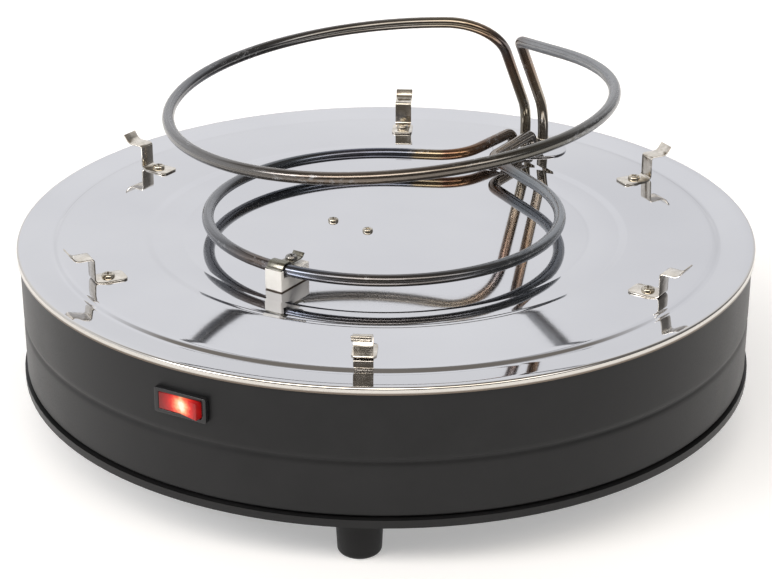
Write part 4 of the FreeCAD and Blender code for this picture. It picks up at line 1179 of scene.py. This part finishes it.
@dataclass
class Support:
    """The ceramic block under the lower ring, its strap and screw."""

    finishes: Finishes
    azimuth: float = 240.0
    centre: Point = LOWER_CENTRE
    ring: float = LOWER_RING
    floor: float = DISH
    height: float = 12.0
    width: float = 10.8
    inward: float = 19.0
    outward: float = 6.0
    rounding: float = 0.55
    strap_width: float = 10.0
    strap_bends: tuple[float, ...] = (0.9, 0.7, 1.4, 1.4, 0.7)
    strap_rounding: float = 0.15
    tab_width: float = 7.0
    tab_start: float = 4.2
    tip: Point = (17.5, 2.1)
    curl: float = 15.6
    hump_foot: float = 4.0
    hump_top: float = 2.7
    tube_height: float = 114.88
    tail_drop: float = 2.4
    groove: float = 3.45
    gauge: float = 0.8
    screw_sizes: Triple = (3.3, 2.2, 1.45)
    screw_setback: float = 10.5
    screw_end: float = 99.6
    screw_turn: float = 20.0

    def build(self) -> None:
        """Build the block, the strap and the screw."""
        self.block()
        self.strap()
        self.screw()

    def block(self) -> None:
        """Build the grooved block."""
        top = self.floor + self.height
        bed = self.tube_height - self.groove
        work = Workpiece()
        work.prism([
            (self.ring - self.inward, self.floor), (self.ring + self.outward, self.floor),
            (self.ring + self.outward, top), (self.ring + self.groove, top),
            (self.ring + self.groove, bed), (self.ring - self.groove, bed),
            (self.ring - self.groove, top - self.tail_drop),
            (self.ring - self.inward, top - self.tail_drop),
        ], self.width)
        work.soften(self.rounding, 3)
        work.place(self.azimuth, *self.centre)
        work.finish("ceramic_block", self.finishes.dark_footed, Slot.CERAMIC, ("ceramic_support",))

    def strap(self) -> None:
        """Fold the strap over the tube."""
        top = self.floor + self.height + self.gauge / 2
        crown = self.tube_height + self.groove + self.gauge / 2
        work = Workpiece()
        work.fold([
            (self.ring - self.tip[0], top + self.tip[1]), (self.ring - self.curl, top),
            (self.ring - self.hump_foot, top), (self.ring - self.hump_top, crown),
            (self.ring + self.hump_top, crown), (self.ring + self.hump_foot, top),
            (self.ring + self.outward, top),
        ], dict(enumerate(self.strap_bends, 1)), self.strap_width)
        for vert in work.mesh.verts:
            if vert.co.x < self.ring - self.tab_start:
                vert.co.y *= self.tab_width / self.strap_width
        work.thicken(self.gauge)
        work.soften(self.strap_rounding, 2, 60.0)
        work.place(self.azimuth, *self.centre)
        work.finish("tube_strap", self.finishes.tinted, Slot.NICKEL, ("support_strap",))

    def screw(self) -> None:
        """Build the strap's screw."""
        x, y = polar(self.ring - self.screw_setback, self.azimuth)
        seat = self.floor + self.height + self.gauge
        work = CrossScrew(*self.screw_sizes, seat - self.screw_end).make(
            x + self.centre[0], y + self.centre[1], seat, self.screw_turn)
        work.finish("strap_crosshead", self.finishes.dark_screw, Slot.ZINC, ("strap_screw",))


@dataclass
class Clips:
    """The six bent clips that carry the upper part, and their screws."""

    finishes: Finishes
    names: tuple[str, ...] = ("clip_rear_right", "clip_rear", "clip_rear_left", "clip_front_left",
                              "clip_front", "clip_front_right")
    first: float = 30.0
    deck: float = DECK
    ledge: float = 120.1
    gauge: float = 0.8
    width: float = 10.0
    tab_width: float = 12.6
    tab_corner: float = 2.6
    tab_clear: float = 4.0
    tab_edge: float = 2.2
    tab: float = 155.0
    riser: float = CLIP_RISER
    valley: float = 183.0
    tip: float = 186.4
    tip_rise: float = 4.8
    bends: Triple = (1.9, 1.5, 2.2)
    rounding: float = 0.14
    screw_circle: float = 164.4
    screw: CrossScrew = CrossScrew(3.6, 2.2, 1.95, 6.0)
    screw_turn: float = 23.0

    def build(self) -> None:
        """Build the clips and the screws."""
        screws = Workpiece()
        for number, name in enumerate(self.names):
            azimuth = self.first + FULL_TURN * number / len(self.names)
            self.strip(name, azimuth)
            x, y = polar(self.screw_circle, azimuth)
            screws.add(self.screw.make(
                x, y, self.deck + self.gauge, azimuth + self.screw_turn * number))
        screws.finish("clip_crossheads", self.finishes.screw, Slot.ZINC, ("clip_screws",))

    def strip(self, name: str, azimuth: float) -> None:
        """Fold one clip.

        Args:
            name: the solid that it stands for.
            azimuth: its place around, in degrees.
        """
        half = self.gauge / 2
        face = self.riser - half
        work = Workpiece()
        work.fold([
            (self.tab, self.deck + half), (face - self.tab_clear, self.deck + half),
            (face, self.deck + half), (face, self.ledge - half), (self.valley, self.ledge - half),
            (self.tip, self.ledge + self.tip_rise - half),
        ], dict(enumerate(self.bends, 2)), self.width, 5)
        for vert in work.mesh.verts:
            if vert.co.x < face - self.tab_edge and vert.co.z < self.deck + self.gauge:
                vert.co.y *= self.tab_width / self.width
        ends = [vert for vert in work.mesh.verts if abs(vert.co.x - self.tab) < NEAR]
        work.bevel(ends, self.tab_corner, 4, "VERTICES")
        work.thicken(self.gauge)
        work.soften(self.rounding, 2, 60.0)
        work.place(azimuth)
        work.finish("strip_" + name, self.finishes.nickel, Slot.NICKEL, (name,))


@dataclass
class Terminals:
    """The flange and collars where the elements come through, and the sensor's screws."""

    finishes: Finishes
    deck: float = DECK
    dish: float = DISH
    flange_place: Point = polar(157.78, 59.53)
    flange_turn: float = 6.0
    flange_gauge: float = 0.8
    flange_size: Point = (45.0, 38.0)
    flange_corner: float = 14.0
    flange_rounding: float = 0.2
    legs: tuple[Point, Point] = UPPER_LEGS
    collar_bore: float = 3.3
    collar: float = 4.3
    collar_height: float = 2.2
    collar_bends: Point = (0.2, 0.4)
    sensor: Point = (-20.4, 3.8)
    sensor_turn: float = -33.8
    sensor_pitch: float = 24.8
    screw: CrossScrew = CrossScrew(3.0, 1.7, 1.45, 5.0)
    screw_turns: Point = (5.0, 65.0)

    def build(self) -> None:
        """Build the flange, the collars and the screws."""
        self.flange()
        self.collars()
        self.sensor_screws()

    def flange(self) -> None:
        """Build the flange as a rounded plate."""
        length, width = self.flange_size
        work = Workpiece()
        grid = bmesh.ops.create_grid(work.mesh, x_segments=1, y_segments=1, size=0.5)["verts"]
        bmesh.ops.scale(work.mesh, verts=grid, vec=(length, width, 1.0))
        work.bevel(grid, self.flange_corner, 10, "VERTICES")
        bmesh.ops.translate(work.mesh, verts=work.mesh.verts[:], vec=(0, 0, self.flange_gauge / 2))
        work.thicken(self.flange_gauge)
        work.soften(self.flange_rounding, 2, 60.0)
        work.place(self.flange_turn, *self.flange_place, self.deck)
        work.finish("element_flange", self.finishes.sheet, Slot.NICKEL, ("terminal_flange",))

    def collars(self) -> None:
        """Turn the collars on the upper element's legs."""
        both = Workpiece()
        profile = [
            (self.collar_bore, 0.0), (self.collar, 0.0), (self.collar, self.collar_height),
            (self.collar_bore, self.collar_height), (self.collar_bore, 0.0),
        ]
        for x, y in self.legs:
            work = Workpiece()
            work.turn(profile, dict(enumerate(self.collar_bends, 1)), steps=40, segments=3)
            work.place(0.0, x, y, self.deck + self.flange_gauge)
            both.add(work)
        both.finish("leg_collars", self.finishes.nickel, Slot.NICKEL, ("upper_collars",))

    def sensor_screws(self) -> None:
        """Build the two screws that hold the sensor under the dish."""
        both = Workpiece()
        for side, turn in zip((-0.5, 0.5), self.screw_turns):
            x, y = polar(self.sensor_pitch * side, self.sensor_turn)
            both.add(self.screw.make(self.sensor[0] + x, self.sensor[1] + y, self.dish, turn))
        both.finish("sensor_crossheads", self.finishes.screw, Slot.ZINC, ("thermostat_screws",))


@dataclass
class Switch:
    """The rocker switch: bezel, housing and lit lens."""

    finishes: Finishes
    azimuth: float = 244.5
    height: float = 84.7
    back: float = 203.9
    front: float = 206.5
    bezel: Point = (30.2, 13.4)
    window: Point = (25.2, 9.5)
    housing: Point = (26.6, 11.4)
    depth: float = 20.0
    window_depth: float = 10.5
    pivot: float = 203.3
    tilt: float = 7.0
    corner: float = 0.9
    rounding: float = 0.35
    face: float = 3.2
    lens: Point = (24.0, 9.1)
    lens_skirt: float = 5.0
    lens_root: Point = (-3.0, 4.0)
    lens_rounding: float = 0.4
    lamp_shift: float = 1.4
    lamp_rise: float = 0.2
    lamp_reach: float = 14.0
    glow: Stops = (
        (0.12, (1.0, 0.94, 0.74)), (0.22, (1.0, 0.62, 0.32)), (0.34, (0.90, 0.17, 0.08)),
        (0.48, (0.66, 0.02, 0.015)), (0.66, (0.30, 0.005, 0.005)), (0.90, (0.08, 0.002, 0.002)))

    def build(self) -> None:
        """Build the bezel and the lens."""
        self.frame()
        self.rocker()

    def frame(self) -> None:
        """Build the bezel with its window and the housing behind it."""
        work = Workpiece()
        cube = bmesh.ops.create_cube(work.mesh, size=1.0)["verts"]
        bmesh.ops.scale(work.mesh, verts=cube, vec=(self.front - self.back, *self.bezel))
        bmesh.ops.translate(work.mesh, verts=cube, vec=((self.front + self.back) / 2, 0, 0))
        upright = [edge for edge in work.mesh.edges
                   if abs(edge.verts[0].co.y - edge.verts[1].co.y) < NEAR
                   and abs(edge.verts[0].co.z - edge.verts[1].co.z) < NEAR]
        work.bevel(upright, self.corner, 4)
        self.draw(work, self.front, 1.0, self.window, 0.0)
        self.draw(work, self.front, 1.0, self.window, -self.window_depth)
        self.draw(work, self.back, -1.0, self.housing, 0.0)
        self.draw(work, self.back, -1.0, self.housing, self.depth)
        work.close()
        rims = [edge for edge in work.mesh.edges
                if all(abs(vert.co.x - self.front) < NEAR for vert in edge.verts)]
        edges = [edge for edge in rims if edge.calc_face_angle(0.0) > math.radians(60.0)]
        work.bevel(edges, self.rounding, 3)
        work.place(self.azimuth, z=self.height)
        work.finish("switch_frame", self.finishes.bezel, Slot.BEZEL, ("switch_housing",))

    @staticmethod
    def draw(work: Workpiece, level: float, side: float, size: Point, length: float) -> None:
        """Draw the face at a level to a new size, or along.

        Args:
            work: the piece.
            level: where the face is along X.
            side: 1 for the front, -1 for the back.
            size: width and height of the drawn face.
            length: how far it is drawn along its normal.
        """
        work.mesh.normal_update()
        faces = [face for face in work.mesh.faces
                 if abs(face.calc_center_median().x - level) < NEAR and face.normal.x * side > 0.9]
        face = max(faces, key=lambda item: len(item.verts))
        drawn = bmesh.ops.extrude_discrete_faces(work.mesh, faces=[face])["faces"][0]
        verts = list(drawn.verts)
        wide = max(vert.co.y for vert in verts) - min(vert.co.y for vert in verts)
        high = max(vert.co.z for vert in verts) - min(vert.co.z for vert in verts)
        bmesh.ops.scale(work.mesh, verts=verts, vec=(1.0, size[0] / wide, size[1] / high))
        bmesh.ops.translate(work.mesh, verts=verts, vec=(side * length, 0, 0))

    def rocker(self) -> None:
        """Build the lens with its two slanted halves."""
        half, width = self.lens[0] / 2, self.lens[1]
        end = self.face + half * math.tan(math.radians(self.tilt))
        work = Workpiece()
        skirt, (root, root_half) = end - self.lens_skirt, self.lens_root
        face = work.mesh.faces.new([work.mesh.verts.new((x, y, -width / 2)) for x, y in (
            (self.face, 0.0), (end, -half), (skirt, -half), (root, -root_half), (root, root_half),
            (skirt, half), (end, half))])
        moved, _ = work.fresh(bmesh.ops.extrude_face_region(work.mesh, geom=[face])["geom"])
        bmesh.ops.translate(work.mesh, verts=moved, vec=(0, 0, width))
        work.close()
        work.soften(self.lens_rounding, 3, 60.0)
        x, y = polar(self.pivot, self.azimuth)
        work.place(self.azimuth - self.tilt, x, y, self.height)
        glow = LitLens("lit_red_lens", self.lamp_spot(), self.lamp_reach, self.glow).make()
        work.finish("lens", glow, Slot.LENS, ("rocker",), Body.ROCKER)

    def lamp_spot(self) -> Triple:
        """Return where the lamp shines through the lens."""
        turn = math.radians(self.azimuth)
        x, y = polar(self.front, self.azimuth)
        return (x - self.lamp_shift * math.sin(turn), y + self.lamp_shift * math.cos(turn),
                self.height + self.lamp_rise)


@dataclass
class Gland:
    """The empty cord gland in the wall."""

    finishes: Finishes
    azimuth: float = 60.0
    height: float = 56.0
    seat: float = 203.9
    bore: float = 3.75
    thread: float = 6.0
    inner: float = 191.05
    outside: tuple[Point, ...] = (
        (9.0, 0.0), (9.0, 3.0), (6.6, 3.0), (6.6, 4.6), (5.6, 5.0), (5.6, 6.0), (6.4, 6.4), (6.2, 9.0))
    bends: tuple[tuple[int, float], ...] = ((4, 0.8), (5, 0.5), (6, 0.25), (9, 0.25), (10, 1.0))

    def build(self) -> None:
        """Turn the gland about its bore."""
        work = Workpiece()
        outside = [(radius, self.seat + out) for radius, out in self.outside]
        profile = [
            (self.bore, self.inner), (self.thread, self.inner), (self.thread, self.seat), *outside,
            (self.bore, outside[-1][1]), (self.bore, self.inner),
        ]
        work.turn(profile, dict(self.bends), steps=56, segments=4)
        bmesh.ops.rotate(
            work.mesh, verts=work.mesh.verts[:], cent=(0, 0, 0), matrix=Matrix.Rotation(math.pi / 2, 3, "Y"))
        work.place(self.azimuth, z=self.height)
        work.finish("gland", self.finishes.plastic, Slot.PLASTIC, ("cord_gland",))


@dataclass(frozen=True)
class Studio:
    """Floor, light and camera, in metres.

    The room's arch, band and walls are coloured by the direction that is looked in: the arch and the
    band from the back (0) over the top to the front (1), the walls from left to right.
    """

    floor_size: float = 6.0
    floor_glow: float = 0.37
    arch: Stops = (
        (0.08, (0.89, 0.89, 0.91)), (0.16, (1.01, 1.01, 1.03)), (0.27, (1.01, 1.01, 1.03)),
        (0.36, (0.265, 0.24, 0.21)), (0.50, (0.24, 0.215, 0.19)), (0.75, (0.20, 0.185, 0.165)),
        (1.0, (0.16, 0.145, 0.13)))
    fall: Stops = ((0.0, (1.0, 1.0, 1.0)), (1.0, (0.90, 0.90, 0.905)))
    walls: Stops = ((0.1, (0.90, 0.90, 0.92)), (0.9, (0.17, 0.168, 0.17)))
    band: Stops = (
        (0.64, (0.0, 0.0, 0.0)), (0.675, (1.0, 1.0, 1.0)), (0.745, (1.0, 1.0, 1.0)),
        (0.775, (0.0, 0.0, 0.0)))
    band_strength: float = 21.0
    key_place: Triple = (-0.25, -1.45, 1.75)
    key_aim: Triple = (0.0, 0.0, 0.1)
    key_size: Point = (1.6, 0.62)
    key_power: float = 8.0
    camera_place: Triple = (0.0693, -1.0834, 0.5472)
    camera_tilt: float = 66.125
    camera_turn: float = 3.66
    sensor: float = 36.0
    lens: float = 97.1

    def build(self) -> None:
        """Set up the studio."""
        self.floor()
        self.sky()
        self.light()
        self.camera()

    def floor(self) -> None:
        """Lay the pale floor."""
        mesh = bmesh.new()
        bmesh.ops.create_grid(mesh, x_segments=2, y_segments=2, size=self.floor_size)
        data = bpy.data.meshes.new("floor")
        mesh.to_mesh(data)
        mesh.free()
        shader = Shader("pale_floor")
        cloud = shader.noise(2.0, 2.0, 0.5)
        shader.feed(shader.ramp(cloud, ((0.3, (0.79,) * 3), (0.7, (0.81,) * 3))), "Base Color")
        shader.set(Roughness=0.8, Specular_IOR_Level=0.2, Emission_Color=(1.0,) * 4,
                   Emission_Strength=self.floor_glow)
        data.materials.append(shader.material)
        floor = bpy.data.objects.new("floor", data)
        bpy.context.scene.collection.objects.link(floor)
        floor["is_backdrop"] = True

    def sky(self) -> None:
        """Light the room softly: pale behind and beside, dim above and on the camera's side."""
        world = bpy.data.worlds.new("studio")
        world.use_nodes = True
        bpy.context.scene.world = world
        room = Pattern(world.node_tree)
        way = room.nodes.new("ShaderNodeSeparateXYZ")
        room.links.new(room.nodes.new("ShaderNodeTexCoord").outputs["Generated"], way.inputs["Vector"])
        right, back, up = (way.outputs[axis] for axis in "XYZ")
        over = room.span(room.sum(up, back, "ARCTAN2"), 0.0, math.pi)
        across = room.sum(right, right, "MULTIPLY")
        fall = room.ramp(room.span(right, -0.02, 0.14), self.fall)
        backdrop = room.blend(room.ramp(over, self.arch), fall, 1.0, "MULTIPLY")
        walls = room.ramp(room.span(right, -1.0, 1.0), self.walls)
        colour = room.blend(backdrop, walls, room.span(across, 0.22, 0.62))
        reach = room.sum(
            room.ramp(over, self.band), room.span(across, 0.45, 0.75, 1.0, 0.0), "MULTIPLY")
        strength = room.span(reach, 0.0, 1.0, 1.0, self.band_strength)
        room.links.new(colour, room.nodes["Background"].inputs["Color"])
        room.links.new(strength, room.nodes["Background"].inputs["Strength"])

    def light(self) -> None:
        """Hang the soft oblong light."""
        data = bpy.data.lights.new("key_light", "AREA")
        data.shape = "RECTANGLE"
        data.size, data.size_y = self.key_size
        data.energy = self.key_power
        lamp = bpy.data.objects.new("key_light", data)
        lamp.location = self.key_place
        facing = Vector(self.key_aim) - Vector(self.key_place)
        lamp.rotation_euler = facing.to_track_quat("-Z", "Y").to_euler()
        bpy.context.scene.collection.objects.link(lamp)

    def camera(self) -> None:
        """Stand the camera where the view was taken from."""
        data = bpy.data.cameras.new("camera")
        data.sensor_width = self.sensor
        data.lens = self.lens
        camera = bpy.data.objects.new("camera", data)
        camera.location = self.camera_place
        camera.rotation_euler = (math.radians(self.camera_tilt), 0.0, math.radians(self.camera_turn))
        bpy.context.scene.collection.objects.link(camera)
        bpy.context.scene.camera = camera


def dress(nodes: dict[str, bpy.types.Object], finishes: Finishes) -> None:
    """Give every solid that is still shown the finish of its slot.

    Args:
        nodes: the part's solids by name.
        finishes: the finishes.
    """
    by_slot = finishes.by_slot()
    for name, solid in nodes.items():
        if solid.hide_render:
            continue
        for holder in solid.material_slots:
            holder.material = by_slot[holder.material.name]
        log.info("%s: dressed", name)


def corners(box: tuple[Vector, Vector]) -> list[list[float]]:
    """Return a box as plain lists."""
    return [list(corner) for corner in box]


def main() -> None:
    """Build every sub-assembly and the studio."""
    logging.basicConfig(level=logging.INFO, format="%(message)s")
    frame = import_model()
    solid_box = corners(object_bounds())
    bpy.context.scene.view_settings.view_transform = "Standard"
    finishes = Finishes()
    for assembly in (Plate(finishes), Drum(finishes), Heaters(finishes), Support(finishes),
                     Clips(finishes), Terminals(finishes), Switch(finishes), Gland(finishes)):
        assembly.build()
    dress(frame["nodes"], finishes)
    Studio().build()
    {"cad": solid_box, "visual": corners(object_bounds())}


if __name__ == "__main__":
    main()
